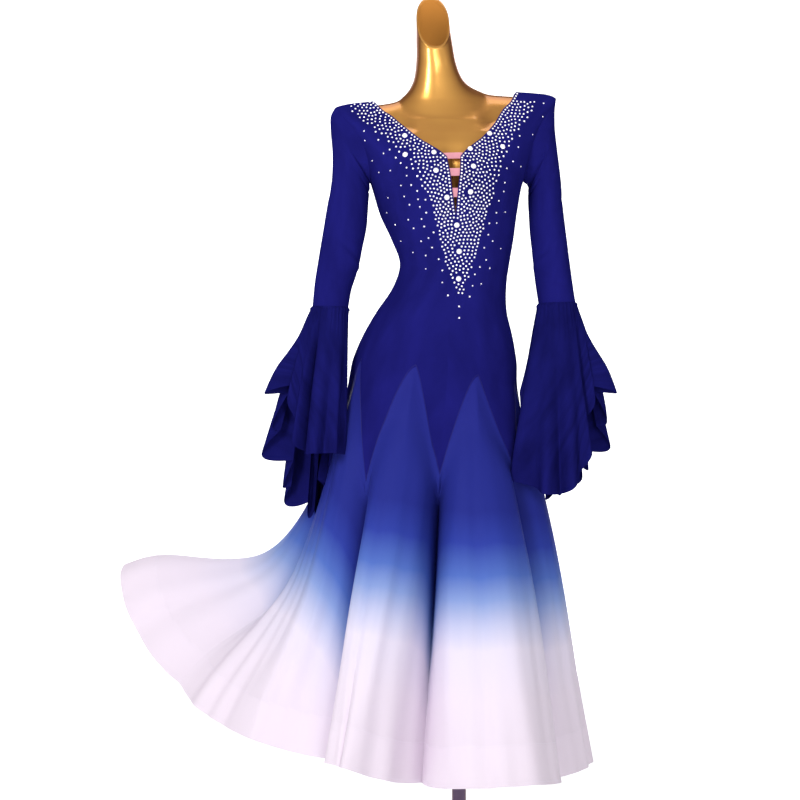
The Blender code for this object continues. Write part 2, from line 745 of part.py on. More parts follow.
# ---------------------------------------------------------------- the pieces
GODET_NAMES = (
    "godet_back_left",
    "godet_rear_side_left",
    "godet_side_left",
    "godet_front_left",
    "godet_front_right",
    "godet_side_right",
    "godet_rear_side_right",
    "godet_back_right",
)
FORM_SIDES = 24
FORM_ROWS = 38
DROP_START = 1.36  # above this height the form's shoulders also lie lower than the cloth
DROP_SPAN = 0.09
PITCH_START = 1.53  # the height where the neck begins to lean towards its slanted cap
PITCH_SPAN = 0.10
MITRE_LIMIT = 0.6  # the least cosine that a mitred edge is lengthened by
CORNER_LIMIT = 0.5  # the same for a corner of a sheet's border
BACK_TO_BACK = -0.2  # sheets whose normals agree less than this share no edge


def dress_sheets():
    """The middle surface of every cloth piece that meets others, and its material."""
    sheets = {
        "bodice_front": (welded([bodice_half("front", -1), bodice_half("front", 1)]), "bodice_navy"),
        "bodice_back": (welded([bodice_half("back", -1), bodice_half("back", 1)]), "bodice_navy"),
        "sleeve_left": (welded([sleeve(-1)], ring=True), "bodice_navy"),
        "sleeve_right": (welded([sleeve(1)], ring=True), "bodice_navy"),
    }
    for number, name in enumerate(GODET_NAMES):
        sheets[name] = (welded([godet(number)]), "skirt_blue")
    return sheets


def build_dress():
    """The walls of the bodice, sleeves and godets, mitred to each other along their seams."""
    sheets = dress_sheets()
    own = {name: corner_normals(*sheet) for name, (sheet, _) in sheets.items()}
    meeting = {}
    for name, (sheet, _) in sheets.items():
        for point, normal in zip(sheet[0], own[name]):
            meeting.setdefault(tuple(np.round(point, 6)), []).append((name, normal))
    for name, ((points, faces), material) in sheets.items():
        is_sleeve = name.startswith("sleeve")
        normals = own[name].copy()
        moved = points.copy()
        for corner, point in enumerate(points):
            joined = np.zeros(3)
            for other, normal in meeting[tuple(np.round(point, 6))]:
                if normal @ own[name][corner] > BACK_TO_BACK or name.startswith("godet"):
                    joined += normal
                elif is_sleeve:
                    moved[corner] = point + normal * ARMPIT_GAP
            joined /= np.linalg.norm(joined)
            normals[corner] = joined / max(MITRE_LIMIT, joined @ own[name][corner])
        add_object(name, *wall(moved, faces, normals, WALL), new_material(material))


def build_flounces():
    """The two flounces, each a wall round its sleeve's end."""
    for name, hand in (("flounce_left", -1), ("flounce_right", 1)):
        points, faces = welded([flounce(hand)], ring=True)
        normals = corner_normals(points, faces)
        add_object(name, *wall(points, faces, normals, WALL), new_material("chiffon_navy"))


def build_straps():
    """The three straps that close the slit."""
    for name, (height, width) in STRAPS.items():
        points, faces = welded([strap(height, width)])
        normals = corner_normals(points, faces)
        add_object(name, *wall(points, faces, normals, STRAP_WALL), new_material("strap_pink"))


def build_form():
    """The dress form: torso and neck with a slanted flat cap, just inside the cloth."""
    turns = 360 * np.arange(FORM_SIDES) / FORM_SIDES
    rings = []
    for row in np.linspace(level_row(FORM_BOTTOM), len(TORSO) - 1, FORM_ROWS):
        height = smooth_rows(TORSO, row)[HEIGHT]
        drop = FORM_GAP * float(np.clip((height - DROP_START) / DROP_SPAN, 0, 1))
        ring = torso(turns, row, FORM_GAP) - np.array([0, 0, drop])
        lean = CAP_PITCH * float(np.clip((height - PITCH_START) / PITCH_SPAN, 0, 1))
        middle = (ring[:, 1].max() + ring[:, 1].min()) / 2
        depth = (ring[:, 1].max() - ring[:, 1].min()) / 2
        ring[:, 2] += lean * (ring[:, 1] - middle) / depth
        rings.append(ring)
    rings[0][:, 2] = FORM_BOTTOM
    points, faces = loft(np.array(rings))
    add_object("dress_form", points, faces, new_material("form_gold"))


def build_stand():
    """The pole and the round base that it stands on."""
    edge = [
        (BASE_RADIUS - BASE_EDGE * (1 - math.cos(a)), BASE_THICKNESS - BASE_EDGE * (1 - math.sin(a)))
        for a in np.radians([0, 30, 60, 90])
    ]
    base = [(BASE_RADIUS, 0.0)] + edge
    add_object("stand_base", *lathe(base, BASE_SIDES), new_material("stand_metal"))
    pole = [(POLE_RADIUS, BASE_THICKNESS + FIT_GAP), (POLE_RADIUS, FORM_BOTTOM - FIT_GAP)]
    add_object("stand_pole", *lathe(pole, POLE_SIDES), new_material("stand_metal"))


def main():
    """Clears the scene and builds every piece."""
    for thing in list(bpy.data.objects):
        bpy.data.objects.remove(thing, do_unlink=True)
    build_dress()
    build_flounces()
    build_straps()
    build_form()
    build_stand()


main()
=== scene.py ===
"""A long-sleeved ballroom dance dress on its dress form, finished over the solid model.

The cloth pieces follow the same sections as the solids, in finer steps, with creases, folds, hems,
stitching and crystals. Metres, +Z up; the front of the dress faces -Y.
"""

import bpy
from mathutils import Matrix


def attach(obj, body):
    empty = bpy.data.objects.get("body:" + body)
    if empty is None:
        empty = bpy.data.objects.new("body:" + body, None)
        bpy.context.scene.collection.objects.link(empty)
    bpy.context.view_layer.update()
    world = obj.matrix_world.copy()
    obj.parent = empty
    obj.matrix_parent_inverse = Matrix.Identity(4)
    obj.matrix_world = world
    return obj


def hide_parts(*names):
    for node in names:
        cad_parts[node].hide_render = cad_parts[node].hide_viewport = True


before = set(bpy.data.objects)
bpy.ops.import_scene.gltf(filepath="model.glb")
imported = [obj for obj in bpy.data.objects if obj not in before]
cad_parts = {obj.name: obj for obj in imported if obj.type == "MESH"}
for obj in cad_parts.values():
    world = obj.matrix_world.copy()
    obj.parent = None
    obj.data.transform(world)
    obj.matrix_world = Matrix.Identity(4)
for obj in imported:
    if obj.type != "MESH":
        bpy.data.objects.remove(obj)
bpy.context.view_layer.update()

import math
from functools import cache

import bpy
import numpy as np
from bpy.props import FloatProperty, FloatVectorProperty, IntProperty, PointerProperty
from mathutils import Vector
from mathutils.bvhtree import BVHTree

bl_info = {
    "name": "Ballroom dress",
    "version": (1, 0, 0),
    "blender": (4, 5, 0),
    "location": "View3D > Sidebar > Dress",
    "description": "Builds a ballroom dance dress on its dress form, piece by piece",
    "category": "Object",
}

# ---------------------------------------------------------------- the cut, as in the solids
FORM_GAP = 0.008  # from the middle of the cloth down to the dress form
ROUNDNESS = 2.3  # exponent of the torso's superelliptic sections
WAIST_HEIGHT = 1.155
HIP_HEIGHT = 0.944
HIP_SLOPE = -0.024  # how far the godets' tops rise at +X and fall at -X
ARMPIT_HEIGHT = 1.317
FORM_BOTTOM = 0.815
GODETS = 8
GODET_TURN = 360 / GODETS
SKIRT_CENTRE = (-0.035, 0.01)
DIP_POWER = 1.3
CAP_PITCH = 0.056  # how far the back of the neck's top lies above its middle
DROP_START, DROP_SPAN = 1.36, 0.09  # heights over which the form is lowered to clear the shoulders
PITCH_START, PITCH_SPAN = 1.53, 0.10  # heights over which the neck's rings come to slope
POLE_RADIUS = 0.0135
BASE_RADIUS = 0.18
BASE_THICKNESS = 0.014
BASE_ROUNDING, BASE_FOOT = 0.004, 0.001  # radius of the top edge, size of the foot's bevel
BASE_SIDES, POLE_SIDES, ROUNDING_POINTS = 128, 64, 7
POLE_GAP = 0.0003  # between the pole's ends and what they meet

# height, centre x, half width, front depth, back depth, dip, rise towards +X per metre
TORSO = np.array([
    (0.700, -0.044, 0.135, 0.090, 0.104, 0.000, 0.00),
    (0.800, -0.048, 0.150, 0.102, 0.118, 0.000, 0.00),
    (0.890, -0.049, 0.159, 0.109, 0.126, 0.000, 0.00),
    (0.945, -0.049, 0.161, 0.110, 0.128, 0.000, 0.00),
    (0.968, -0.048, 0.159, 0.110, 0.127, 0.000, 0.00),
    (1.015, -0.042, 0.145, 0.105, 0.120, 0.000, 0.00),
    (1.062, -0.034, 0.126, 0.099, 0.107, 0.000, 0.00),
    (1.108, -0.019, 0.110, 0.093, 0.091, 0.000, 0.00),
    (1.155, -0.009, 0.106, 0.090, 0.079, 0.000, 0.00),
    (1.202, -0.013, 0.118, 0.097, 0.083, 0.000, 0.00),
    (1.249, -0.021, 0.132, 0.112, 0.090, 0.000, 0.00),
    (1.296, -0.024, 0.143, 0.124, 0.095, 0.000, 0.01),
    (1.319, -0.024, 0.150, 0.124, 0.098, 0.002, 0.02),
    (1.358, -0.025, 0.164, 0.113, 0.101, 0.010, 0.03),
    (1.397, -0.026, 0.181, 0.099, 0.102, 0.024, 0.04),
    (1.432, -0.026, 0.201, 0.086, 0.100, 0.038, 0.05),
    (1.4555, -0.026, 0.214, 0.077, 0.096, 0.049, 0.06),
    (1.467, -0.026, 0.217, 0.069, 0.091, 0.055, 0.06),
    (1.474, -0.026, 0.203, 0.062, 0.085, 0.057, 0.065),
    (1.478, -0.027, 0.1755, 0.056, 0.079, 0.055, 0.07),
    (1.481, -0.028, 0.1404, 0.053, 0.073, 0.050, 0.08),
    (1.486, -0.031, 0.101, 0.050, 0.066, 0.043, 0.09),
    (1.495, -0.035, 0.082, 0.047, 0.059, 0.034, 0.09),
    (1.508, -0.039, 0.0655, 0.045, 0.053, 0.024, 0.08),
    (1.528, -0.042, 0.0535, 0.043, 0.047, 0.014, 0.05),
    (1.560, -0.045, 0.0465, 0.042, 0.044, 0.004, 0.00),
    (1.595, -0.048, 0.0435, 0.042, 0.043, 0.000, 0.00),
    (1.632, -0.051, 0.0405, 0.042, 0.042, 0.000, 0.00),
])
HEIGHT, CENTRE, HALF_WIDTH, FRONT, BACK, DIP, RISE = range(7)

# The neckline on one half, from the shoulder seam to the centre: across, height
FRONT_NECKLINE = np.array([
    (0.140, 1.481), (0.124, 1.458), (0.108, 1.444), (0.085, 1.415),
    (0.060, 1.390), (0.042, 1.377), (0.025, 1.364), (0.0130, 1.352),
])
BACK_NECKLINE = np.array([
    (0.140, 1.481), (0.120, 1.448), (0.080, 1.420), (0.040, 1.408), (0.0, 1.404),
])
SLIT_HALF_WIDTH = 0.0130
SLIT_TOP = 1.352
SLIT_END = 1.242
ARMHOLE_HALF_DEPTH = 0.046
ARMHOLE_TOP = 1.4665

# The straps across the slit: height of the middle, width
STRAPS = {
    "strap_top": (1.355, 0.012),
    "strap_middle": (1.322, 0.015),
    "strap_bottom": (1.282, 0.017),
}
STRAP_DEPTH = 0.0029
STRAP_TUCK = 0.005
STRAP_THICKNESS = 0.0010

# outer x, outer height, inner x, inner height, half depth, middle y
SLEEVES = {
    "left": np.array([
        (-0.2500, 1.438, -0.1745, 1.307, 0.047, 0.004),
        (-0.2495, 1.408, -0.1755, 1.295, 0.046, 0.003),
        (-0.2465, 1.365, -0.1775, 1.276, 0.044, 0.001),
        (-0.2485, 1.315, -0.1795, 1.250, 0.042, -0.003),
        (-0.2575, 1.265, -0.1825, 1.221, 0.041, -0.008),
        (-0.2665, 1.212, -0.1910, 1.182, 0.040, -0.014),
        (-0.2750, 1.163, -0.1990, 1.143, 0.039, -0.020),
        (-0.2830, 1.114, -0.2125, 1.104, 0.037, -0.027),
        (-0.2875, 1.0700, -0.2195, 1.068, 0.036, -0.033),
    ]),
    "right": np.array([
        (0.1880, 1.450, 0.1380, 1.307, 0.047, 0.004),
        (0.1890, 1.415, 0.1380, 1.295, 0.046, 0.003),
        (0.1950, 1.365, 0.1378, 1.274, 0.044, 0.001),
        (0.2000, 1.315, 0.1385, 1.246, 0.042, -0.003),
        (0.2030, 1.265, 0.1395, 1.217, 0.041, -0.008),
        (0.2080, 1.215, 0.1420, 1.184, 0.040, -0.014),
        (0.2130, 1.167, 0.1445, 1.147, 0.039, -0.020),
        (0.2180, 1.120, 0.1480, 1.110, 0.037, -0.027),
        (0.2230, 1.0800, 0.1520, 1.078, 0.036, -0.033),
    ]),
}

# The flounces' folds at the hem: turn, reach from the middle, height of the hem
FLOUNCES = {
    "left": np.array([
        (12, 0.075, 0.915), (48, 0.070, 0.800), (84, 0.075, 0.790), (120, 0.072, 0.790),
        (156, 0.062, 0.785), (192, 0.050, 0.760), (228, 0.050, 0.710), (264, 0.070, 0.668),
        (300, 0.090, 0.700), (336, 0.105, 0.800),
    ]),
    "right": np.array([
        (12, 0.082, 0.915), (48, 0.080, 0.790), (84, 0.080, 0.722), (120, 0.088, 0.712),
        (156, 0.118, 0.738), (192, 0.096, 0.760), (228, 0.064, 0.720), (264, 0.075, 0.705),
        (300, 0.100, 0.740), (336, 0.112, 0.810),
    ]),
}
FLOUNCE_FOLD_DEPTH = 0.30
FLOUNCE_SPREAD_POWER = 0.9
FLOUNCE_SHIFT = {"left": (-0.030, -0.025), "right": (0.002, -0.036)}
FLOUNCE_CLEARANCE = 0.006

# turn at the hip, direction and reach at the hem, share that the bodice's point takes, length
SKIRT_SEAMS = np.array([
    (-180, -180, 0.245, 0.26, 0.765),
    (-135, -146, 0.240, 0.27, 0.750),
    (-90, -92, 0.270, 0.27, 0.747),
    (-45, -49, 0.280, 0.305, 0.752),
    (0, -19, 0.185, 0.255, 0.775),
    (45, 55, 0.240, 0.24, 0.765),
    (90, 100, 0.233, 0.20, 0.747),
    (135, 140, 0.240, 0.23, 0.760),
    (180, 180, 0.245, 0.26, 0.765),
])
# how far each godet stands out at the hem, and the power of the sine that shapes it
SKIRT_FLUTES = np.array([
    (0.085, 1.6), (0.055, 1.6), (0.030, 1.6), (0.125, 1.05),
    (0.125, 1.2), (0.050, 1.6), (0.080, 1.6), (0.085, 1.6),
])
FLUTE_START = 0.14  # share of the length where the godets start to stand out
SPREAD_POWER = 0.88
# how far the turns are drawn round at the hip line
HIP_TWIST = np.array([
    (-180, 0.0), (-90, 0.0), (-45, 3.0), (-22.5, 8.4), (0, 3.3), (22.5, 1.0), (45, 0.0), (180, 0.0),
])
TWIST_POWER = 1.5
# the share of a point left halfway along each godet's two edges
EDGE_MIDDLES = np.array([
    (0.42, 0.42), (0.42, 0.42), (0.42, 0.46), (0.31, 0.45),
    (0.29, 0.47), (0.42, 0.42), (0.42, 0.42), (0.42, 0.42),
])
# the share of the sweep to -X that each turn takes
SWEEP_SHARE = np.array([
    (-180, 0.0), (-165, 0.10), (-135, 0.80), (-116, 1.0), (-90, 0.52),
    (-67.5, 0.25), (-45, 0.06), (-30, 0.0), (180, 0.0),
])
# how far the cloth has swung aside down its length, in degrees
SWEEP_TURN = np.array([
    (0.0, 0), (0.20, 3), (0.40, 20), (0.50, 30), (0.58, 48), (0.66, 76), (0.76, 89), (0.86, 89),
    (1.0, 60),
])
LEAST_FALL = 0.1  # the least part of a step down the skirt that goes down
PATH_STEPS = 90
SEARCH_STEPS = 1081

# ---------------------------------------------------------------- fineness of the finished cloth
GODET_COLUMNS = 44
SKIRT_ROWS = 110
SHOULDER_ROWS = 36
NECKLINE_ROWS = {"front": 28, "back": 24}
SLIT_ROWS = 12
MIDRIFF_ROWS = 16
LOIN_ROWS = 44
HALF_COLUMNS = 40
SLEEVE_RINGS = 84
FLOUNCE_COLUMNS = 240
FLOUNCE_ROWS = 56
OUTLINE_LEVELS = 90  # heights at which the dress's outline is kept for the flounces
OUTLINE_MARGIN = 0.01  # how far these reach past a flounce
OUTLINE_STRIDE = 6  # columns from one point of an outline to the next
STRAP_ROWS, STRAP_COLUMNS = 12, 24
SMOOTH_CLOTH_ANGLE, SMOOTH_SOLID_ANGLE = 50, 35  # steeper edges than this stay sharp
GODET_NAMES = (
    "godet_back_left",
    "godet_rear_side_left",
    "godet_side_left",
    "godet_front_left",
    "godet_front_right",
    "godet_side_right",
    "godet_rear_side_right",
    "godet_back_right",
)

# ---------------------------------------------------------------- creases and folds
# Bodice creases as soft lines: 1 front or -1 back, x and height of both ends, width, depth
BODICE_CREASES = np.array([
    (1, -0.168, 1.322, -0.112, 1.352, 0.008, -0.0022),
    (1, -0.162, 1.305, -0.104, 1.322, 0.007, 0.0014),
    (1, -0.158, 1.292, -0.110, 1.298, 0.008, -0.0018),
    (1, 0.112, 1.330, 0.062, 1.352, 0.008, -0.0020),
    (1, 0.110, 1.312, 0.066, 1.325, 0.007, 0.0012),
    (1, 0.104, 1.296, 0.064, 1.300, 0.008, -0.0016),
    (1, -0.108, 1.188, -0.060, 1.168, 0.010, -0.0018),
    (1, -0.104, 1.166, -0.050, 1.152, 0.009, 0.0011),
    (1, -0.112, 1.138, -0.066, 1.140, 0.010, -0.0016),
    (1, 0.086, 1.186, 0.044, 1.170, 0.010, -0.0017),
    (1, 0.088, 1.160, 0.038, 1.152, 0.009, 0.0010),
    (1, 0.092, 1.132, 0.052, 1.136, 0.010, -0.0014),
    (1, -0.200, 1.440, -0.150, 1.400, 0.010, -0.0016),
    (1, 0.158, 1.450, 0.108, 1.408, 0.010, -0.0016),
    (1, -0.120, 1.062, -0.060, 1.040, 0.016, -0.0012),
    (1, 0.078, 1.050, 0.034, 1.034, 0.016, -0.0012),
    (-1, -0.168, 1.326, -0.108, 1.344, 0.009, -0.0020),
    (-1, 0.112, 1.326, 0.058, 1.346, 0.009, -0.0020),
    (-1, -0.104, 1.176, -0.024, 1.166, 0.010, -0.0022),
    (-1, 0.086, 1.170, 0.006, 1.160, 0.010, -0.0020),
    (-1, -0.098, 1.150, -0.014, 1.146, 0.009, 0.0013),
    (-1, 0.082, 1.140, 0.000, 1.138, 0.010, -0.0018),
    (-1, -0.106, 1.124, -0.034, 1.122, 0.012, -0.0018),
    (-1, -0.190, 1.440, -0.140, 1.392, 0.012, -0.0016),
    (-1, 0.150, 1.446, 0.100, 1.396, 0.012, -0.0016),
])

# shares of a bodice crease's length over which it comes in and goes out
CREASE_ENDS = ((-0.15, 0.35), (0.65, 1.15))

# Sleeve creases as part rings: turn of the middle (0 outer, 90 front, 180 towards the body), share
# of the sleeve's length, tilt per degree, half length in degrees, width as a share, depth
SLEEVE_CREASES = np.array([
    (150, 0.10, -0.0006, 60, 0.018, -0.0030),
    (120, 0.17, -0.0005, 50, 0.016, 0.0014),
    (160, 0.24, -0.0004, 60, 0.018, -0.0024),
    (200, 0.15, 0.0005, 50, 0.018, -0.0026),
    (60, 0.34, 0.0005, 45, 0.020, -0.0012),
    (110, 0.70, 0.0007, 55, 0.016, -0.0024),
    (150, 0.76, 0.0006, 60, 0.015, 0.0016),
    (130, 0.82, -0.0005, 60, 0.015, -0.0026),
    (80, 0.89, -0.0006, 50, 0.014, -0.0018),
    (240, 0.78, 0.0006, 50, 0.016, -0.0020),
    (290, 0.60, -0.0006, 50, 0.018, -0.0014),
    (20, 0.52, 0.0006, 45, 0.022, -0.0010),
])

SLEEVE_CREASE_FALL = 1.5  # how quickly a sleeve's crease fades towards its ends
SLEEVE_CALM = (0.05, 0.96)  # shares of the length where the creases have come in and start to go out

# Godet folds: godet, middle across at the top and at the hem, width, height, share where it starts
GODET_FOLDS = np.array([
    (0, 0.30, 0.26, 0.060, 0.0060, 0.25),
    (0, 0.46, 0.43, 0.055, -0.0065, 0.32),
    (0, 0.66, 0.70, 0.070, 0.0060, 0.28),
    (1, 0.28, 0.30, 0.055, -0.0050, 0.25),
    (1, 0.48, 0.50, 0.070, 0.0060, 0.22),
    (1, 0.72, 0.76, 0.055, -0.0055, 0.30),
    (2, 0.22, 0.20, 0.050, 0.0050, 0.30),
    (2, 0.40, 0.44, 0.060, -0.0060, 0.30),
    (2, 0.60, 0.64, 0.050, 0.0065, 0.26),
    (2, 0.80, 0.83, 0.050, -0.0070, 0.22),
    (2, 0.31, 0.32, 0.036, -0.0036, 0.12),
    (2, 0.50, 0.53, 0.036, -0.0038, 0.10),
    (2, 0.70, 0.74, 0.036, 0.0034, 0.12),
    (2, 0.90, 0.92, 0.034, -0.0040, 0.08),
    (3, 0.24, 0.20, 0.050, 0.0050, 0.20),
    (3, 0.40, 0.38, 0.050, -0.0065, 0.26),
    (3, 0.56, 0.57, 0.055, 0.0050, 0.30),
    (3, 0.72, 0.74, 0.055, 0.0030, 0.20),
    (3, 0.88, 0.89, 0.055, -0.0080, 0.12),
    (4, 0.22, 0.24, 0.045, 0.0050, 0.18),
    (4, 0.38, 0.40, 0.040, -0.0070, 0.16),
    (4, 0.54, 0.56, 0.050, 0.0050, 0.24),
    (4, 0.70, 0.71, 0.040, -0.0050, 0.30),
    (4, 0.83, 0.84, 0.040, 0.0045, 0.34),
    (5, 0.30, 0.28, 0.060, -0.0055, 0.25),
    (5, 0.55, 0.58, 0.070, 0.0060, 0.25),
    (5, 0.76, 0.78, 0.050, -0.0050, 0.35),
    (6, 0.26, 0.24, 0.055, -0.0060, 0.28),
    (6, 0.50, 0.47, 0.060, 0.0060, 0.22),
    (6, 0.70, 0.73, 0.055, -0.0060, 0.30),
    (7, 0.32, 0.35, 0.060, -0.0060, 0.26),
    (7, 0.54, 0.56, 0.055, 0.0060, 0.30),
    (7, 0.74, 0.72, 0.060, -0.0055, 0.28),
])
FOLD_SCALE = 1.6
# Valleys that the cloth falls into along the seams, round from the back: depth, width, start
SEAM_VALLEYS = np.array([
    (0.022, 0.018, 0.08),
    (0.024, 0.018, 0.08),
    (0.026, 0.018, 0.06),
    (0.036, 0.017, 0.02),
    (0.046, 0.016, 0.00),
    (0.040, 0.017, 0.00),
    (0.024, 0.018, 0.06),
    (0.022, 0.018, 0.08),
])
# Beside its forward seam the swept godet's dye runs further down: godet, share, reach
DYE_RUN = (2, 0.10, 0.10)
BULGE = 0.016  # how far the godets stand out between the bodice's points
BULGE_REACH = 0.032
VALLEY_GROWTH = 0.14  # share of the length over which a valley deepens
VALLEY_AT_HEM = 0.35  # share of a valley's depth that is left at the hem
VALLEY_SKIRTS = 2.6  # how much wider a valley's soft sides are than its middle
# shares of the length over which valleys and bulges lessen
VALLEY_LESSENING, BULGE_LESSENING = (0.35, 0.9), (0.35, 1.0)
HEM_WAVES = (0.0022, 0.0014)  # heights of a long and a short wave of the hem tape
HEM_WAVE_COUNTS = (3.0, 7.0)
HEM_WAVE_START = 0.7
HEM_WAVE_SHIFT = 1.7  # how far the waves move on from godet to godet, in radians
FOLD_GROWTH = 0.2  # how far above its start a fold begins to rise
FOLD_TAPER = 0.6  # power of the sine that takes the folds out towards the seams
BODICE_CALM = 0.12  # share of a half panel beside its inner edge where the creases fade

# Flounce folds added to the solids' ten: turn, width in degrees, depth, share where it starts
FLOUNCE_CREASES = {
    "left": np.array([
        (54, 7, -0.030, 0.00), (72, 10, 0.007, 0.06), (132, 10, -0.004, 0.35),
        (172, 9, -0.006, 0.40), (214, 10, -0.006, 0.30), (246, 9, 0.006, 0.30),
        (282, 10, -0.007, 0.25), (318, 9, -0.008, 0.25), (354, 9, -0.008, 0.15),
    ]),
    "right": np.array([
        (40, 9, -0.014, 0.05), (70, 11, 0.006, 0.20), (102, 9, -0.006, 0.25),
        (138, 10, 0.005, 0.30), (176, 9, -0.006, 0.35), (210, 10, -0.006, 0.30),
        (246, 9, 0.006, 0.30), (284, 10, -0.007, 0.25), (322, 9, -0.008, 0.25),
    ]),
}
RUFFLES = 20  # lobes round a flounce's hem
SLOW_WAVES, SLOW_WAVE_SHIFT, SLOW_WAVE_SHARE = 6, 1.3, 0.5  # the slower wave added to them
RUFFLE_HEIGHT = 0.0180
RUFFLE_DROP = 0.0110
RUFFLE_START, RUFFLE_DROP_START = 0.30, 0.7  # shares of the flounce's length
GATHERS = 30  # small gathers below the elbow seam
GATHER_HEIGHT = 0.0012
GATHER_REACH = 0.09
SEAM_RIDGE = (0.0022, 0.02, 0.012)  # height, then place and width as shares of the length
CREASE_GROWTH = 0.55  # share of the length over which a flounce's crease grows in
FRONT_TURN = 105  # the middle of a flounce's broad front panel, which has no ruffles
FRONT_REACH, FRONT_BLEND = 62, 30

# ---------------------------------------------------------------- hems and stitches
CLOTH_SHARE, BAND_SHARE = 0.40, 0.62  # thickness as a share of the rolled hem's
ROLL_HEIGHT = 0.0045
ROLL_STITCH_HEIGHT = 0.006  # the row of stitches above the rolled hem
EDGE_STITCH_HEIGHT = 0.0035  # and above the bodice's lower edge
STITCH_SPACING = 1.55  # from stitch to stitch, in stitch lengths

# ---------------------------------------------------------------- crystals
# The big stones: x, height
BIG_STONES = np.array([
    (-0.115, 1.394), (-0.116, 1.356), (-0.062, 1.360), (-0.060, 1.324), (-0.039, 1.273),
    (-0.018, 1.222), (-0.012, 1.173), (-0.013, 1.121), (0.048, 1.400), (0.072, 1.374),
    (0.008, 1.368), (0.012, 1.333), (0.006, 1.284),
])
# The last single stones below the point
TAIL_STONES = np.array([(-0.034, 1.089), (0.008, 1.087), (-0.013, 1.068), (-0.013, 1.046)])
# The field of small stones: height, outer limit, close limit at -X, close limit, outer limit at +X
STONE_FIELD = np.array([
    (1.089, -0.034, -0.012, -0.008, 0.010),
    (1.121, -0.056, -0.024, 0.005, 0.042),
    (1.155, -0.100, -0.038, 0.016, 0.065),
    (1.190, -0.116, -0.047, 0.026, 0.078),
    (1.226, -0.146, -0.057, 0.037, 0.081),
    (1.264, -0.146, -0.070, 0.046, 0.085),
    (1.300, -0.152, -0.089, 0.058, 0.090),
    (1.345, -0.176, -0.114, 0.074, 0.115),
    (1.377, -0.190, -0.140, 0.086, 0.124),
    (1.410, -0.214, -0.180, 0.108, 0.140),
    (1.440, -0.236, -0.212, 0.130, 0.160),
    (1.470, -0.240, -0.222, 0.152, 0.176),
])
EDGE_MARGIN = 0.0036
EDGE_POINTS = 60  # points on the neckline, and as many on the slit, that the rows follow
ROW_START = 0.004  # from the start of the neckline to the first stone, and of the slit to its row
ROW_GAP, FIELD_GAP = 0.80, 0.97  # least gaps in the edge rows and in the field, in row steps
ROW_CLEARANCE = 0.6  # how far the field keeps off the edge rows, in row steps
STONE_TRIES = 42000  # places tried for the close stones, nearest the edges first
OUTER_STEP = 0.40  # how much wider the steps get where the close stones end
LOWER_STEP = 0.14  # and in the point below the slit
OUTER_HEIGHTS, LOWER_HEIGHTS = (1.25, 1.33), (1.13, 1.26)  # where these two come in and go out
STONE_SIZES = (0.92, 1.08)  # least and greatest share of a small stone's radius
STONE_LIFT = 0.05  # how far a stone's base stands off the cloth, in radii
LEAST_STONES, MOST_STONES = 300, 2400
STRAY_TRIES = 900
STRAY_MARGIN = 0.012  # how far the strays keep above the field's lower end
STRAY_GAPS = (0.0090, 0.0250)  # least gaps beside the field and at its outer limit
STRAY_SHRINK = 0.30  # share of its size that the outermost stray has lost

SEED = 41

# ---------------------------------------------------------------- the form's own shape
# The middle of the form's front from the chest to the neck: height, how far forward
CHEST_SLOPE = np.array([
    (1.340, 0.1083), (1.370, 0.0928), (1.400, 0.0750), (1.430, 0.0580), (1.450, 0.0485),
    (1.470, 0.0420), (1.500, 0.0372), (1.540, 0.0342),
])
CHEST_REACH = (0.050, 0.105)  # the slope is even up to here from the middle, and blends out by here
CHEST_BLEND = ((1.355, 1.385), (1.50, 1.54))  # heights between which the slope comes in and goes out
# the hollow between the breasts: middle x and reach, middle height and reach, depth
HOLLOW = ((-0.024, 0.020), (1.305, 0.055), 0.028)
NECK_ROUNDING = ((30, 60, 90), 0.05, 0.0016)  # steps in degrees, drawing in, rise
CAP_STEPS = ((0.90, 0.0010), (0.90, 0.0022), (0.885, 0.0026))  # share of the neck's width, rise


# ---------------------------------------------------------------- curves and sections
def smooth_rows(table, places):
    """The rows of a table at fractional row numbers, on a Catmull-Rom curve through them."""
    places = np.clip(np.asarray(places, float), 0, len(table) - 1)
    start = np.minimum(places.astype(int), len(table) - 2)
    t = (places - start)[..., None]
    before = table[np.maximum(start - 1, 0)]
    after = table[np.minimum(start + 2, len(table) - 1)]
    a, b = table[start], table[start + 1]
    return 0.5 * (
        2 * a
        + (b - before) * t
        + (2 * before - 5 * a + 4 * b - after) * t**2
        + (3 * a - before - 3 * b + after) * t**3
    )


def smooth_values(table, where):
    """A smooth curve through (place, value) rows whose places rise, read at where."""
    rows = np.interp(where, table[:, 0], np.arange(len(table)))
    return smooth_rows(table[:, 1:], rows)


def hump(away, width):
    """1 in the middle of a soft hump, falling away to both sides."""
    return np.exp(-((away / width) ** 2))


def turned_from(degrees, turn):
    """How far directions lie from a turn, between -180 and 180 degrees."""
    return (degrees - turn + 180) % 360 - 180


def bent(value, power):
    """A signed power, which squares off a sine or a cosine."""
    return np.sign(value) * np.abs(value) ** power


def eased(value, start, end):
    """0 before start and 1 after end, with a smooth rise between them."""
    t = np.clip((value - start) / (end - start), 0, 1)
    return t * t * (3 - 2 * t)


def torso(turn, row, inside=0.0):
    """A point of the cloth over the torso, or this far inside it. Turn 0 is the front, 90 is +X."""
    turn = np.radians(turn)
    s = smooth_rows(TORSO, row)
    across = (s[..., HALF_WIDTH] - inside) * bent(np.sin(turn), 2 / ROUNDNESS)
    ahead = bent(np.cos(turn), 2 / ROUNDNESS)
    depth = np.where(ahead > 0, s[..., FRONT], s[..., BACK]) - inside
    fall = s[..., DIP] * np.abs(np.cos(turn)) ** DIP_POWER
    height = s[..., HEIGHT] - fall + s[..., RISE] * across
    return np.stack([s[..., CENTRE] + across, -depth * ahead, height], axis=-1)


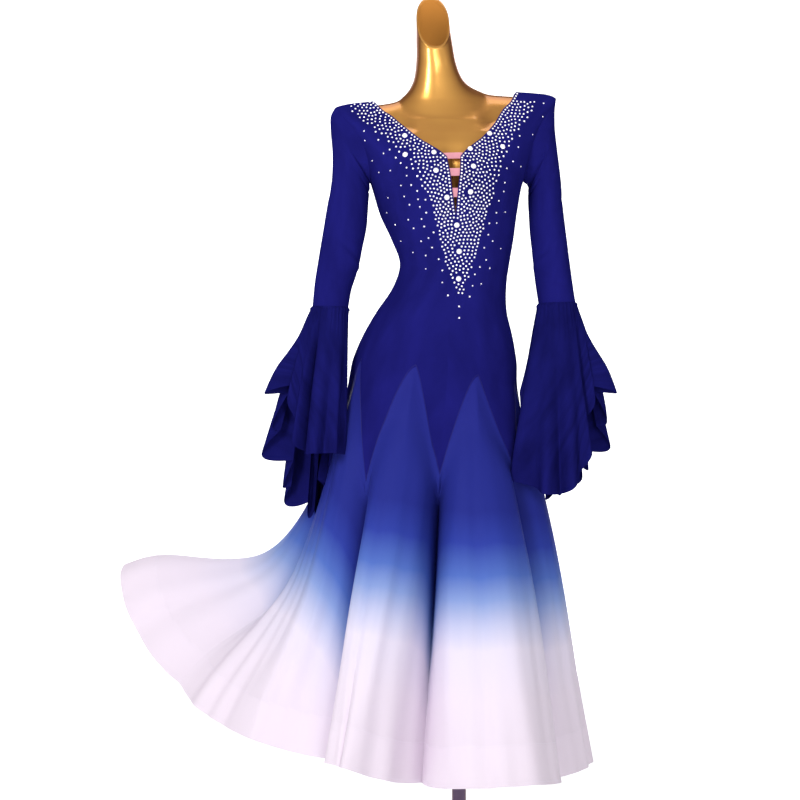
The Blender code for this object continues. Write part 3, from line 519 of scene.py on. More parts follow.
SEARCH_ROWS = np.linspace(0, len(TORSO) - 1, SEARCH_STEPS)
SEARCH_SECTIONS = smooth_rows(TORSO, SEARCH_ROWS)


def level_row(height):
    """The row number of the section at the given height, at the torso's sides."""
    return np.interp(height, SEARCH_SECTIONS[:, HEIGHT], SEARCH_ROWS)


def place_on(turns, height):
    """Where a line of places, one on each searched section, passes a height."""
    falls = SEARCH_SECTIONS[:, DIP] * np.abs(np.cos(np.radians(turns))) ** DIP_POWER
    row = float(np.interp(height, SEARCH_SECTIONS[:, HEIGHT] - falls, SEARCH_ROWS))
    return float(np.interp(row, SEARCH_ROWS, turns)), row


def front_place(across, height, back=False):
    """The turn and row of the point at this distance from the centre and this height."""
    share = np.clip(across / SEARCH_SECTIONS[:, HALF_WIDTH], 0, 1)
    turn, row = place_on(np.degrees(np.arcsin(share ** (ROUNDNESS / 2))), height)
    return (180 - turn if back else turn), row


def side_place(ahead, height):
    """The turn and row of the point this far in front of the torso's side line."""
    share = np.clip(abs(ahead) / SEARCH_SECTIONS[:, FRONT if ahead > 0 else BACK], 0, 1)
    turn, row = place_on(90 - np.degrees(np.arcsin(share ** (ROUNDNESS / 2))), height)
    return (turn if ahead >= 0 else 180 - turn), row


# ---------------------------------------------------------------- the skirt's fall
def hem_point(turn):
    """The hem's direction, reach and flute at hip turns, and the meridians' lengths to it."""
    seam_rows = (turn + 180) / GODET_TURN
    seam = smooth_rows(SKIRT_SEAMS, seam_rows)
    godet = np.minimum(seam_rows.astype(int), GODETS - 1)
    along = seam_rows - godet
    stand, power = SKIRT_FLUTES[godet].T
    flute = stand * np.maximum(np.sin(np.pi * along), 0) ** power
    return seam[:, 1], seam[:, 2], flute, seam[:, 4]


def hip_height(turn):
    """The height of the godets' tops, which slopes with the hips."""
    return HIP_HEIGHT + HIP_SLOPE * np.sin(np.radians(turn))


def hip_twist(turn):
    """How far a turn is drawn round at the hip line."""
    return smooth_values(HIP_TWIST, turn)[..., 0]


def skirt_paths():
    """The meridians of the skirt at every column, as points at even steps along the cloth."""
    turns = np.linspace(-180, 180, GODETS * GODET_COLUMNS + 1)
    share = np.linspace(0, 1, PATH_STEPS + 1)
    start = torso(turns + hip_twist(turns), level_row(hip_height(turns)))
    direction, reach, flute, whole = hem_point(turns)
    angle = np.radians(direction)
    outward = np.stack([np.sin(angle), -np.cos(angle)], axis=-1)
    hem = np.array(SKIRT_CENTRE) + outward * reach[:, None]
    open_share = np.clip((share - FLUTE_START) / (1 - FLUTE_START), 0, 1)
    plan = (
        start[:, None, :2]
        + (hem - start[:, :2])[:, None] * (share**SPREAD_POWER)[None, :, None]
        + (outward * flute[:, None])[:, None] * open_share[None, :, None]
    )
    step = np.diff(plan, axis=1)
    length = whole[:, None] / PATH_STEPS
    sideways = np.linalg.norm(step, axis=-1)
    fall = np.sqrt(np.maximum(length**2 - sideways**2, (LEAST_FALL * length) ** 2))
    part = np.clip(smooth_values(SWEEP_SHARE, turns)[:, 0], 0, 1)
    swing = smooth_values(SWEEP_TURN, share[1:])[:, 0]
    tilt = np.radians(part[:, None] * swing[None])
    moved_x = step[..., 0] * np.cos(tilt) - fall * np.sin(tilt)
    moved_z = -fall * np.cos(tilt) - step[..., 0] * np.sin(tilt)
    moves = np.stack([moved_x, step[..., 1], moved_z], axis=-1)
    paths = np.concatenate([start[:, None], start[:, None] + np.cumsum(moves, axis=1)], axis=1)
    return turns, paths


SKIRT_TURNS, SKIRT_PATHS = skirt_paths()


def skirt(turn, share):
    """A point of the skirt at a hip turn and a share of the length below the hip line."""
    turn, share = np.broadcast_arrays(np.asarray(turn, float), np.asarray(share, float))
    column = (turn + 180) / 360 * (len(SKIRT_TURNS) - 1)
    a = np.clip(column.astype(int), 0, len(SKIRT_TURNS) - 2)
    across = (column - a)[..., None]
    place = share * PATH_STEPS
    b = np.clip(place.astype(int), 0, PATH_STEPS - 1)
    down = (place - b)[..., None]
    near = SKIRT_PATHS[a, b] * (1 - down) + SKIRT_PATHS[a, b + 1] * down
    far = SKIRT_PATHS[a + 1, b] * (1 - down) + SKIRT_PATHS[a + 1, b + 1] * down
    return near * (1 - across) + far * across


def point_share(turn):
    """How far down its meridian the bodice reaches: full at a tip, none at a godet's top."""
    seam_rows = (np.asarray(turn, float) + 180) / GODET_TURN
    number = np.minimum(seam_rows.astype(int), GODETS - 1)
    along = seam_rows - number
    high = (along > 0.5).astype(int)
    from_tip = 2 * np.minimum(along, 1 - along)
    power = np.log(EDGE_MIDDLES[number, high]) / np.log(0.5)
    return SKIRT_SEAMS[number + high, 3] * (1 - from_tip) ** power


# ---------------------------------------------------------------- grids of the cloth
# A grid is an array of points, its rows running down and its columns towards rising turns.
# A hand is -1 for the half at -X and 1 for the half at +X.
SIDE_NAMES = {-1: "left", 1: "right"}


def slit_half_width(height):
    """Half the width of the slit at a height; nothing below its end."""
    return SLIT_HALF_WIDTH * float(np.clip((height - SLIT_END) / (SLIT_TOP - SLIT_END), 0, 1))


def side_heights():
    """Even heights from the armpit to the end of the slit, and on to the waist."""
    upper = np.linspace(ARMPIT_HEIGHT, SLIT_END, SLIT_ROWS + 1)[1:]
    return [*upper, *np.linspace(SLIT_END, WAIST_HEIGHT, MIDRIFF_ROWS + 1)[1:]]


def inner_places(side):
    """(turn, row) places down a panel's inner edge: neckline, then slit or centre line."""
    back = side == "back"
    neckline = BACK_NECKLINE if back else FRONT_NECKLINE
    count = NECKLINE_ROWS[side]
    along = smooth_rows(neckline, np.linspace(0, len(neckline) - 1, count + 1))
    places = [(90.0, level_row(neckline[0, 1]))]
    places += [front_place(across, height, back) for across, height in along[1:]]
    heights = np.linspace(neckline[-1, 1], ARMPIT_HEIGHT, SHOULDER_ROWS - count + 1)[1:]
    for height in (*heights, *side_heights()):
        places.append(front_place(0.0 if back else slit_half_width(height), height, back))
    return places


def outer_places(side):
    """(turn, row) places down a panel's outer edge: armhole, then side seam to the waist."""
    middle = (ARMHOLE_TOP + ARMPIT_HEIGHT) / 2
    half = (ARMHOLE_TOP - ARMPIT_HEIGHT) / 2
    sign = -1 if side == "back" else 1
    places = []
    for step in range(SHOULDER_ROWS + 1):
        angle = math.pi * step / SHOULDER_ROWS
        ahead = sign * ARMHOLE_HALF_DEPTH * math.sin(angle)
        places.append(side_place(ahead, middle + half * math.cos(angle)))
    return places + [(90.0, level_row(height)) for height in side_heights()]


def bodice_half(side, hand):
    """Half a bodice panel from the shoulder seam to its zigzag lower edge."""
    share = np.linspace(0, 1, HALF_COLUMNS + 1)
    rows = []
    for inner, outer in zip(inner_places(side), outer_places(side)):
        turns = inner[0] + (outer[0] - inner[0]) * share
        places = inner[1] + (outer[1] - inner[1]) * share
        rows.append(torso(hand * turns, places))
    first, last = (180, 90) if side == "back" else (0, 90)
    turns = hand * np.linspace(first, last, HALF_COLUMNS + 1)
    loin = WAIST_HEIGHT - hip_height(turns)
    length = hem_point(turns)[3]
    twist = hip_twist(turns)
    for step in range(1, LOIN_ROWS + 1):
        down = (loin + point_share(turns) * length) * step / LOIN_ROWS
        on_loin = np.minimum(down, loin)
        drawn = turns + twist * (on_loin / loin) ** TWIST_POWER
        on_torso = torso(drawn, level_row(WAIST_HEIGHT - on_loin))
        on_skirt = skirt(turns, np.maximum(down - loin, 0) / length)
        rows.append(np.where((down > loin)[:, None], on_skirt, on_torso))
    grid = np.stack(rows)
    rising = (hand > 0) == (side == "front")
    return grid if rising else grid[:, ::-1]


def godet(number):
    """One godet from its pointed top edge to the hem, and the share of the length at each point."""
    turns = np.linspace(0, GODET_TURN, GODET_COLUMNS + 1) - 180 + GODET_TURN * number
    top = point_share(turns)
    shares = top + (1 - top) * np.linspace(0, 1, SKIRT_ROWS + 1)[:, None]
    return skirt(np.broadcast_to(turns, shares.shape), shares), shares


def armhole(hand):
    """The loop of the armhole seam: down the front from the shoulder, then up the back."""
    front = outer_places("front")[: SHOULDER_ROWS + 1]
    back = outer_places("back")[1:SHOULDER_ROWS]
    turns, rows = np.array(front + back[::-1]).T
    return torso(hand * turns, rows)


def tube_ring(section, angle):
    """A ring of a sleeve from its section, at angles where 0 is the outer side and 90 the front."""
    outer_x, outer_z, inner_x, inner_z, depth, middle_y = section
    swing, ahead = np.cos(angle), np.sin(angle)
    x = (outer_x + inner_x) / 2 + (outer_x - inner_x) / 2 * swing
    z = (outer_z + inner_z) / 2 + (outer_z - inner_z) / 2 * swing
    return np.stack([x, middle_y - depth * ahead, z], axis=-1)


def sleeve(hand):
    """The rings of a sleeve from the armhole to the elbow."""
    columns = 2 * SHOULDER_ROWS
    angle = 2 * np.pi * np.arange(columns) / columns
    sections = SLEEVES[SIDE_NAMES[hand]]
    rings = np.stack([armhole(hand)] + [tube_ring(section, angle) for section in sections])
    flat = rings.reshape(len(rings), -1)
    grid = smooth_rows(flat, np.linspace(0, len(rings) - 1, SLEEVE_RINGS + 1))
    grid = grid.reshape(SLEEVE_RINGS + 1, columns, 3)
    return grid[:, ::-1] if hand > 0 else grid


def outline_at(height):
    """The closed outline of the dress, bodice or skirt, at a height, seen from above."""
    points = []
    for turn, path in zip(SKIRT_TURNS[:-1:OUTLINE_STRIDE], SKIRT_PATHS[:-1:OUTLINE_STRIDE]):
        if height >= path[0, 2]:
            points.append(torso(turn, level_row(height))[:2])
            continue
        below = int(np.argmax(path[:, 2] < height))
        share = (path[below - 1, 2] - height) / (path[below - 1, 2] - path[below, 2])
        points.append(path[below - 1, :2] * (1 - share) + path[below, :2] * share)
    return np.array(points)


def kept_clear(point, outline):
    """A point moved out of the dress's outline at its height until it is clear of it."""
    edge = np.roll(outline, -1, axis=0) - outline
    to_point = point[:2] - outline
    share = np.clip((to_point * edge).sum(1) / (edge * edge).sum(1), 0, 1)
    apart = to_point - edge * share[:, None]
    far = np.linalg.norm(apart, axis=1)
    nearest = int(far.argmin())
    outward = np.array([edge[nearest, 1], -edge[nearest, 0]])
    outward /= np.linalg.norm(outward)
    signed = far[nearest] * (1 if apart[nearest] @ outward > 0 else -1)
    if signed >= FLOUNCE_CLEARANCE:
        return point
    foot = outline[nearest] + edge[nearest] * share[nearest]
    return np.array([*(foot + outward * FLOUNCE_CLEARANCE), point[2]])


def flounce(hand, ruffle):
    """The rings of a flounce from the elbow seam to its folded, ruffled hem."""
    name = SIDE_NAMES[hand]
    degrees = 360 * np.arange(FLOUNCE_COLUMNS) / FLOUNCE_COLUMNS
    angle = np.radians(degrees)
    top = tube_ring(SLEEVES[name][-1], angle)
    folds = FLOUNCES[name]
    looped = np.vstack([folds[-2:] - [360, 0, 0], folds, folds[:2] + [360, 0, 0]])
    reach, hem = smooth_values(looped, degrees).T
    crest = 0.5 + 0.5 * np.cos(len(folds) * np.radians(degrees - folds[0, 0]))
    lobes = 2 * np.abs(np.sin(RUFFLES * angle / 2)) - 1
    wave = lobes + SLOW_WAVE_SHARE * np.sin(SLOW_WAVES * angle + SLOW_WAVE_SHIFT)
    from_front = np.abs(turned_from(degrees, FRONT_TURN))
    calm = eased(from_front, FRONT_REACH, FRONT_REACH + FRONT_BLEND)
    middle = top.mean(axis=0)[:2]
    outward = np.stack([hand * np.cos(angle), -np.sin(angle)], axis=-1)
    low, high = hem.min() - OUTLINE_MARGIN, top[:, 2].max() + OUTLINE_MARGIN
    levels = np.linspace(low, high, OUTLINE_LEVELS)
    outlines = [outline_at(level) for level in levels]
    start = np.linalg.norm(top[:, :2] - middle, axis=1)
    ridge, ridge_place, ridge_width = SEAM_RIDGE
    rings = [top]
    for step in range(1, FLOUNCE_ROWS + 1):
        share = step / FLOUNCE_ROWS
        folded = reach * (1 - FLOUNCE_FOLD_DEPTH * share * (1 - crest))
        radius = start + (folded - start) * share**FLOUNCE_SPREAD_POWER
        for turn, width, depth, first in FLOUNCE_CREASES[name]:
            grown_in = eased(share, first, first + CREASE_GROWTH)
            radius += depth * hump(turned_from(degrees, turn), width) * grown_in
        radius += ruffle * RUFFLE_HEIGHT * wave * calm * eased(share, RUFFLE_START, 1)
        radius += ridge * hump(share - ridge_place, ridge_width)
        radius += GATHER_HEIGHT * np.sin(GATHERS * angle + wave) * np.exp(-share / GATHER_REACH)
        plan = middle + np.array(FLOUNCE_SHIFT[name]) * share + outward * radius[:, None]
        drop = -RUFFLE_DROP * ruffle * lobes * calm * eased(share, RUFFLE_DROP_START, 1)
        height = top[:, 2] + (hem - top[:, 2]) * share + drop
        nearest = np.abs(levels[:, None] - height[None]).argmin(axis=0)
        ring = [
            kept_clear(np.array([*p, z]), outlines[level])
            for p, z, level in zip(plan, height, nearest)
        ]
        rings.append(np.array(ring))
    grid = np.stack(rings)
    return grid[:, ::-1] if hand > 0 else grid


# ---------------------------------------------------------------- folds
def grid_normals(grid, closed=False):
    """The outward normals of a grid."""
    if closed:
        across = np.roll(grid, -1, axis=1) - np.roll(grid, 1, axis=1)
    else:
        across = np.gradient(grid, axis=1)
    normal = np.cross(np.gradient(grid, axis=0), across)
    return normal / np.maximum(np.linalg.norm(normal, axis=-1, keepdims=True), 1e-9)


def pressed(grid, lift, closed=False):
    """A grid moved along its normals by a lift at each point."""
    return grid + grid_normals(grid, closed) * lift[..., None]


def row_shares(grid):
    """How far down a grid each row lies, as a column of shares."""
    return np.linspace(0, 1, len(grid))[:, None]


def creased_bodice(side, hand, strength):
    """Half a bodice panel with its creases pressed in."""
    grid = bodice_half(side, hand)
    sign = 1 if side == "front" else -1
    flat = grid[..., [0, 2]]
    lift = np.zeros(grid.shape[:2])
    for _, x0, z0, x1, z1, width, depth in BODICE_CREASES[BODICE_CREASES[:, 0] == sign]:
        a, b = np.array([x0, z0]), np.array([x1, z1])
        along = ((flat - a) @ (b - a)) / ((b - a) @ (b - a))
        foot = a + np.clip(along, 0, 1)[..., None] * (b - a)
        taper = eased(along, *CREASE_ENDS[0]) * (1 - eased(along, *CREASE_ENDS[1]))
        lift += depth * hump(np.linalg.norm(flat - foot, axis=-1), width) * taper
    from_inner = np.linspace(0, 1, grid.shape[1])
    if (hand > 0) != (side == "front"):
        from_inner = from_inner[::-1]
    lift *= eased(from_inner, 0, BODICE_CALM)
    return pressed(grid, lift * strength)


def creased_sleeve(grid, hand, strength):
    """A sleeve grid with its creases pressed in."""
    rings, columns = grid.shape[:2]
    share = row_shares(grid)
    degrees = 360 * np.arange(columns) / columns
    if hand > 0:
        degrees = degrees[::-1]
    lift = np.zeros((rings, columns))
    for turn, place, tilt, reach, width, depth in SLEEVE_CREASES:
        gap = turned_from(degrees, turn)
        taper = np.exp(-((gap / reach) ** 2) * SLEEVE_CREASE_FALL)
        lift += depth * taper * hump(share - place - tilt * gap, width)
    comes_in, goes_out = SLEEVE_CALM
    lift *= eased(share, 0.0, comes_in) * (1 - eased(share, goes_out, 1.0))
    return pressed(grid, lift * strength, closed=True)


def away_from_seam(grid, last):
    """How far each point lies across the cloth from its godet's first seam, or from the last."""
    line = grid[:, ::-1] if last else grid
    steps = np.linalg.norm(np.diff(line, axis=1), axis=-1)
    away = np.concatenate([np.zeros((len(grid), 1)), np.cumsum(steps, axis=1)], axis=1)
    return away[:, ::-1] if last else away


def valleys(grid, number):
    """The depth of the valleys along a godet's two seams, and the way in at each row."""
    down = row_shares(grid)
    lessened = 1 - (1 - VALLEY_AT_HEM) * eased(down, *VALLEY_LESSENING)
    found = []
    for last in (0, 1):
        depth, width, start = SEAM_VALLEYS[(number + last) % GODETS]
        away = away_from_seam(grid, last)
        fall = eased(down, start, start + VALLEY_GROWTH) * lessened
        shape = 0.5 * hump(away, width) + 0.5 * hump(away / width, VALLEY_SKIRTS)
        inward = np.array(SKIRT_CENTRE) - grid[:, -last, :2]
        inward /= np.linalg.norm(inward, axis=1, keepdims=True)
        found.append((depth * fall * shape, inward))
    return found


def dye_run(grid, number):
    """How much further down the dye runs in a godet, as a share of the skirt's length."""
    swept, run, reach = DYE_RUN
    return run * hump(away_from_seam(grid, True), reach) if number == swept else 0.0


def bulge(grid):
    """How far a godet's cloth stands out from its seams, as a share of the whole bulge."""
    border = np.concatenate([grid[0], grid[:, 0], grid[:, -1]])
    apart = np.linalg.norm(grid.reshape(-1, 1, 3) - border[None], axis=-1)
    away = apart.min(axis=1).reshape(grid.shape[:2])
    return (1 - hump(away, BULGE_REACH)) * (1 - eased(row_shares(grid), *BULGE_LESSENING))


def folded_godet(grid, number, strength):
    """A godet grid with its soft vertical folds and the slow wave of its hem tape."""
    down = row_shares(grid)
    across = np.linspace(0, 1, grid.shape[1])[None]
    lift = np.zeros(grid.shape[:2])
    for _, top, foot, width, height, start in GODET_FOLDS[GODET_FOLDS[:, 0] == number]:
        middle = top + (foot - top) * down
        lift += height * hump(across - middle, width) * eased(down, start - FOLD_GROWTH, 1)
    for height, count in zip(HEM_WAVES, HEM_WAVE_COUNTS):
        phase = 2 * np.pi * count * across + number * HEM_WAVE_SHIFT
        lift += height * np.sin(phase) * eased(down, HEM_WAVE_START, 1.0)
    lift *= FOLD_SCALE * np.sin(np.pi * across) ** FOLD_TAPER
    lift += BULGE * bulge(grid)
    made = pressed(grid, lift * strength)
    for depth, inward in valleys(grid, number):
        made[..., :2] += inward[:, None] * (strength * depth)[..., None]
    return made


# ---------------------------------------------------------------- meshes
FLAT_CUT = "flat_cut"  # the UV map of each cloth's flat pattern, in metres


def measured(grid, closed=False):
    """A grid's steps square to its columns, its steps down its columns, and its area."""
    wide = np.concatenate([grid, grid[:, :1]], axis=1) if closed else grid
    fall = np.gradient(wide, axis=0)[:, :-1]
    fall /= np.maximum(np.linalg.norm(fall, axis=-1, keepdims=True), 1e-9)
    across = np.diff(wide, axis=1)
    across -= (across * fall).sum(axis=-1, keepdims=True) * fall
    row_steps = np.linalg.norm(across, axis=-1)
    column_steps = np.linalg.norm(np.diff(grid, axis=0), axis=-1)
    a = wide[1:, :-1] - wide[:-1, :-1]
    b = wide[:-1, 1:] - wide[:-1, :-1]
    c = wide[:-1, 1:] - wide[1:, 1:]
    d = wide[1:, :-1] - wide[1:, 1:]
    area = np.linalg.norm(np.cross(a, b), axis=-1) + np.linalg.norm(np.cross(c, d), axis=-1)
    return row_steps, column_steps, area.sum() / 2


def placed(name, data):
    """A new object in the scene, at the origin."""
    thing = bpy.data.objects.new(name, data)
    bpy.context.scene.collection.objects.link(thing)
    return thing


def smoothed(mesh, degrees):
    """Shades a mesh smooth but for edges sharper than an angle."""
    mesh.shade_smooth()
    mesh.set_sharp_from_angle(angle=math.radians(degrees))


def applied(piece):
    """The piece with its modifiers made part of its mesh."""
    depsgraph = bpy.context.evaluated_depsgraph_get()
    mesh = bpy.data.meshes.new_from_object(piece.evaluated_get(depsgraph), depsgraph=depsgraph)
    piece.modifiers.clear()
    piece.vertex_groups.clear()
    piece.data = mesh
    mesh.name = piece.name
    return piece


def cloth_object(name, grids, thickness, wall=None, closed=False, values=None):
    """A sheet through grids, with a flat-pattern UV map and point values, made a thin wall.

    wall gives each point's share of the thickness, and values a named value for each point.
    """
    wall = wall or [np.ones(grid.shape[:2]) for grid in grids]
    stored = {"wall": wall, **(values or {})}
    numbers = {title: [] for title in stored}
    points, faces, uvs, index = [], [], [], {}
    for part, grid in enumerate(grids):
        rows, columns = grid.shape[:2]
        row_steps, column_steps, _ = measured(grid, closed)
        width = row_steps.sum(axis=1)
        down = np.concatenate([np.zeros((1, columns)), np.cumsum(column_steps, axis=0)])
        spots = np.empty((rows, columns), int)
        for i, j in np.ndindex(rows, columns):
            key = tuple(np.round(grid[i, j], 6))
            if key not in index:
                index[key] = len(points)
                points.append(grid[i, j])
                for title, parts in stored.items():
                    numbers[title].append(parts[part][i, j])
            spots[i, j] = index[key]
        last = columns if closed else columns - 1
        for i, j in np.ndindex(rows - 1, last):
            k = (j + 1) % columns
            corners = [spots[i, j], spots[i + 1, j], spots[i + 1, k], spots[i, k]]
            places = [(i, j), (i + 1, j), (i + 1, j + 1), (i, j + 1)]
            if len(set(corners)) < 3:
                continue
            kept = [n for n in range(4) if corners[n] != corners[n - 1]]
            faces.append([int(corners[n]) for n in kept])
            for row, column in (places[n] for n in kept):
                u = (column / last - 0.5) * width[row]
                uvs.append((0.5 + u, down[row, column % columns]))
    mesh = bpy.data.meshes.new(name)
    mesh.from_pydata([tuple(map(float, p)) for p in points], [], faces)
    layer = mesh.uv_layers.new(name=FLAT_CUT)
    layer.data.foreach_set("uv", np.array(uvs, dtype=np.float32).ravel())
    shares = np.round(numbers.pop("wall"), 3)
    for title, each in numbers.items():
        attribute = mesh.attributes.new(title, "FLOAT", "POINT")
        attribute.data.foreach_set("value", np.array(each, dtype=np.float32))
    piece = placed(name, mesh)
    group = piece.vertex_groups.new(name="thickness")
    for share in np.unique(shares):
        group.add(np.flatnonzero(shares == share).tolist(), float(share), "REPLACE")
    solidify = piece.modifiers.new("wall", "SOLIDIFY")
    solidify.thickness = thickness
    solidify.offset = 0
    solidify.vertex_group = group.name
    smoothed(applied(piece).data, SMOOTH_CLOTH_ANGLE)
    return piece


def loft_object(name, rings):
    """A closed smooth solid through rings, lowest first."""
    count, sides = rings.shape[:2]
    faces = []
    for low in range(0, (count - 1) * sides, sides):
        for j in range(sides):
            k = (j + 1) % sides
            faces.append((low + j, low + k, low + sides + k, low + sides + j))
    faces.append(tuple(range(sides))[::-1])
    faces.append(tuple(range((count - 1) * sides, count * sides)))
    mesh = bpy.data.meshes.new(name)
    mesh.from_pydata([tuple(map(float, p)) for p in rings.reshape(-1, 3)], [], faces)
    smoothed(mesh, SMOOTH_SOLID_ANGLE)
    return placed(name, mesh)


def lathe_object(name, profile, sides):
    """A smooth solid turned about Z from (radius, height) rows, lowest first."""
    angle = 2 * np.pi * np.arange(sides) / sides
    rings = [
        np.stack([r * np.cos(angle), r * np.sin(angle), np.full(sides, z)], -1) for r, z in profile
    ]
    return loft_object(name, np.array(rings))


def finish_piece(piece, material, replaces=None):
    """Gives a piece its material and its place in the frame's table."""
    piece.data.materials.clear()
    piece.data.materials.append(material)
    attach(piece, "root")
    if replaces:
        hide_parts(replaces)


def declare_cloth(grids, closed=False):
    """Works out the flat width, length and area of the cloth a piece was cut from."""
    widths, lengths, areas = [], [], []
    for grid in grids:
        row_steps, column_steps, area = measured(grid, closed)
        widths.append(row_steps.sum(axis=1).max())
        lengths.append(column_steps.sum(axis=0).max())
        areas.append(area)
    flat = (round(sum(widths), 4), round(max(lengths), 4))
    area = min(sum(areas), flat[0] * flat[1])


# ---------------------------------------------------------------- nodes
def new_tree(name, kind, inputs, outputs):
    """A node tree with named inputs and outputs, and the sockets of its two end nodes."""
    tree = bpy.data.node_groups.new(name, kind)
    for title, sort, *value in inputs:
        socket = tree.interface.new_socket(title, in_out="INPUT", socket_type=f"NodeSocket{sort}")
        if value:
            socket.default_value = value[0]
    for title, sort in outputs:
        tree.interface.new_socket(title, in_out="OUTPUT", socket_type=f"NodeSocket{sort}")
    given, result = tree.nodes.new("NodeGroupInput"), tree.nodes.new("NodeGroupOutput")
    return tree, given.outputs, result.inputs


def node(tree, kind, inputs=None, **settings):
    """A new node's outputs, its inputs linked to other nodes' sockets or set to a constant."""
    made = tree.nodes.new(kind)
    for title, value in settings.items():
        setattr(made, title, value)
    for title, source in (inputs or {}).items():
        if isinstance(source, bpy.types.NodeSocket):
            tree.links.new(source, made.inputs[title])
        else:
            made.inputs[title].default_value = source
    return made.outputs


def realized(tree, given, result, points, shape, facing, **more):
    """Ends a tree: the shape on every point, turned to a direction, as plain mesh and material."""
    turn = node(tree, "FunctionNodeAlignRotationToVector", {"Vector": facing}, axis="Z")
    on_points = {"Points": points, "Instance": shape, "Rotation": turn["Rotation"], **more}
    place = node(tree, "GeometryNodeInstanceOnPoints", on_points)
    real = node(tree, "GeometryNodeRealizeInstances", {"Geometry": place["Instances"]})
    finish = {"Geometry": real["Geometry"], "Material": given["Material"]}
    coat = node(tree, "GeometryNodeSetMaterial", finish)
    tree.links.new(coat["Geometry"], result["Geometry"])
    return tree


def cut_stone_tree():
    """Sets a small cut stone on every point, turned to the point's normal and scaled by its size."""
    tree, given, result = new_tree(
        "cut stones",
        "GeometryNodeTree",
        [("Geometry", "Geometry"), ("Facets", "Int", 8), ("Table", "Float", 0.55),
         ("Crown", "Float", 0.62), ("Material", "Material")],
        [("Geometry", "Geometry")],
    )
    stone = node(tree, "GeometryNodeMeshCone", {
        "Vertices": given["Facets"], "Radius Bottom": 1.0, "Radius Top": given["Table"],
        "Depth": given["Crown"],
    })
    named = "GeometryNodeInputNamedAttribute"
    facing = node(tree, named, {"Name": "facing"}, data_type="FLOAT_VECTOR")["Attribute"]
    size = node(tree, named, {"Name": "size"}, data_type="FLOAT")["Attribute"]
    return realized(tree, given, result, given["Geometry"], stone["Mesh"], facing, Scale=size)


def stitch_tree():
    """Lays short stitches at even steps along every line of edges."""
    tree, given, result = new_tree(
        "stitches",
        "GeometryNodeTree",
        [("Geometry", "Geometry"), ("Step", "Float", 0.0034), ("Stitch length", "Float", 0.0022),
         ("Thread radius", "Float", 0.00028), ("Material", "Material")],
        [("Geometry", "Geometry")],
    )
    line = node(tree, "GeometryNodeMeshToCurve", {"Mesh": given["Geometry"]})
    steps = {"Curve": line["Curve"], "Length": given["Step"]}
    evenly = node(tree, "GeometryNodeResampleCurve", steps, mode="LENGTH")
    thread = node(tree, "GeometryNodeMeshCylinder", {
        "Vertices": 5, "Radius": given["Thread radius"], "Depth": given["Stitch length"],
    })
    tangent = node(tree, "GeometryNodeInputTangent")["Tangent"]
    return realized(tree, given, result, evenly["Curve"], thread["Mesh"], tangent)


def grown(name, mesh, tree, values):
    """A plain mesh object made by a Geometry Nodes tree from a mesh of points or edges."""
    piece = placed(name, mesh)
    modifier = piece.modifiers.new("made", "NODES")
    modifier.node_group = tree
    for socket in tree.interface.items_tree:
        if socket.in_out == "INPUT" and socket.name in values:
            modifier[socket.identifier] = values[socket.name]
    applied(piece).data.shade_flat()
    return piece


def line_mesh(name, lines):
    """A mesh of edges along lines of points."""
    points, edges = [], []
    for line in lines:
        first = len(points)
        points += [tuple(map(float, p)) for p in line]
        edges += [(first + n, first + n + 1) for n in range(len(line) - 1)]
    mesh = bpy.data.meshes.new(name)
    mesh.from_pydata(points, edges, [])
    return mesh


# ---------------------------------------------------------------- materials
MIX_FACTOR, MIX_A, MIX_B, MIX_RESULT = 0, 6, 7, 2  # places of a Mix node's colour sockets
WHITE = (1.0, 1.0, 1.0, 1.0)
NOISE_RANGE = (0.3, 0.7)  # between these values lies nearly all of a noise
CLOTH_PATCHES, SKIRT_PATCHES = (26.0, 9.0), (14.0, 0.8)  # patches of tone to the metre: across, down
RELIEF_DEPTH = 0.0004
SLUB_SCALE = 160.0


def maths(tree, operation, *values):
    """The result of a Math node on sockets and numbers."""
    return node(tree, "ShaderNodeMath", dict(enumerate(values)), operation=operation)[0]


def noise(tree, place, scale, detail):
    """A noise at a place."""
    return node(tree, "ShaderNodeTexNoise", {"Vector": place, "Scale": scale, "Detail": detail})["Fac"]


def mapped(tree, value, from_range, to_range):
    """A value moved from one range to another and kept inside it."""
    ends = {"Value": value, "From Min": from_range[0], "From Max": from_range[1]}
    ends |= {"To Min": to_range[0], "To Max": to_range[1]}
    return node(tree, "ShaderNodeMapRange", ends)["Result"]


def ramp(tree, factor, stops):
    """A colour ramp through (place, colour) stops."""
    made = tree.nodes.new("ShaderNodeValToRGB")
    tree.links.new(factor, made.inputs["Fac"])
    elements = made.color_ramp.elements
    while len(elements) < len(stops):
        elements.new(0.5)
    for element, (place, colour) in zip(elements, stops):
        element.position = place
        element.color = (*colour, 1)
    return made.outputs["Color"]


@cache
def weave_group():
    """The height of crossing threads with uneven slubs."""
    tree, given, result = new_tree(
        "woven threads",
        "ShaderNodeTree",
        [("Vector", "Vector"), ("Threads per metre", "Float", 900.0), ("Slub", "Float", 0.4)],
        [("Height", "Float")],
    )
    thread = {"Vector": given["Vector"], "Scale": given["Threads per metre"]}
    thread |= {"Distortion": 0.6, "Detail": 1.0}
    kind = "ShaderNodeTexWave"
    bands = [node(tree, kind, thread, bands_direction=way)["Fac"] for way in "XY"]
    slub = noise(tree, given["Vector"], SLUB_SCALE, 2.0)
    uneven = maths(tree, "MULTIPLY", slub, given["Slub"])
    height = maths(tree, "ADD", maths(tree, "MAXIMUM", *bands), uneven)
    tree.links.new(height, result["Height"])
    return tree


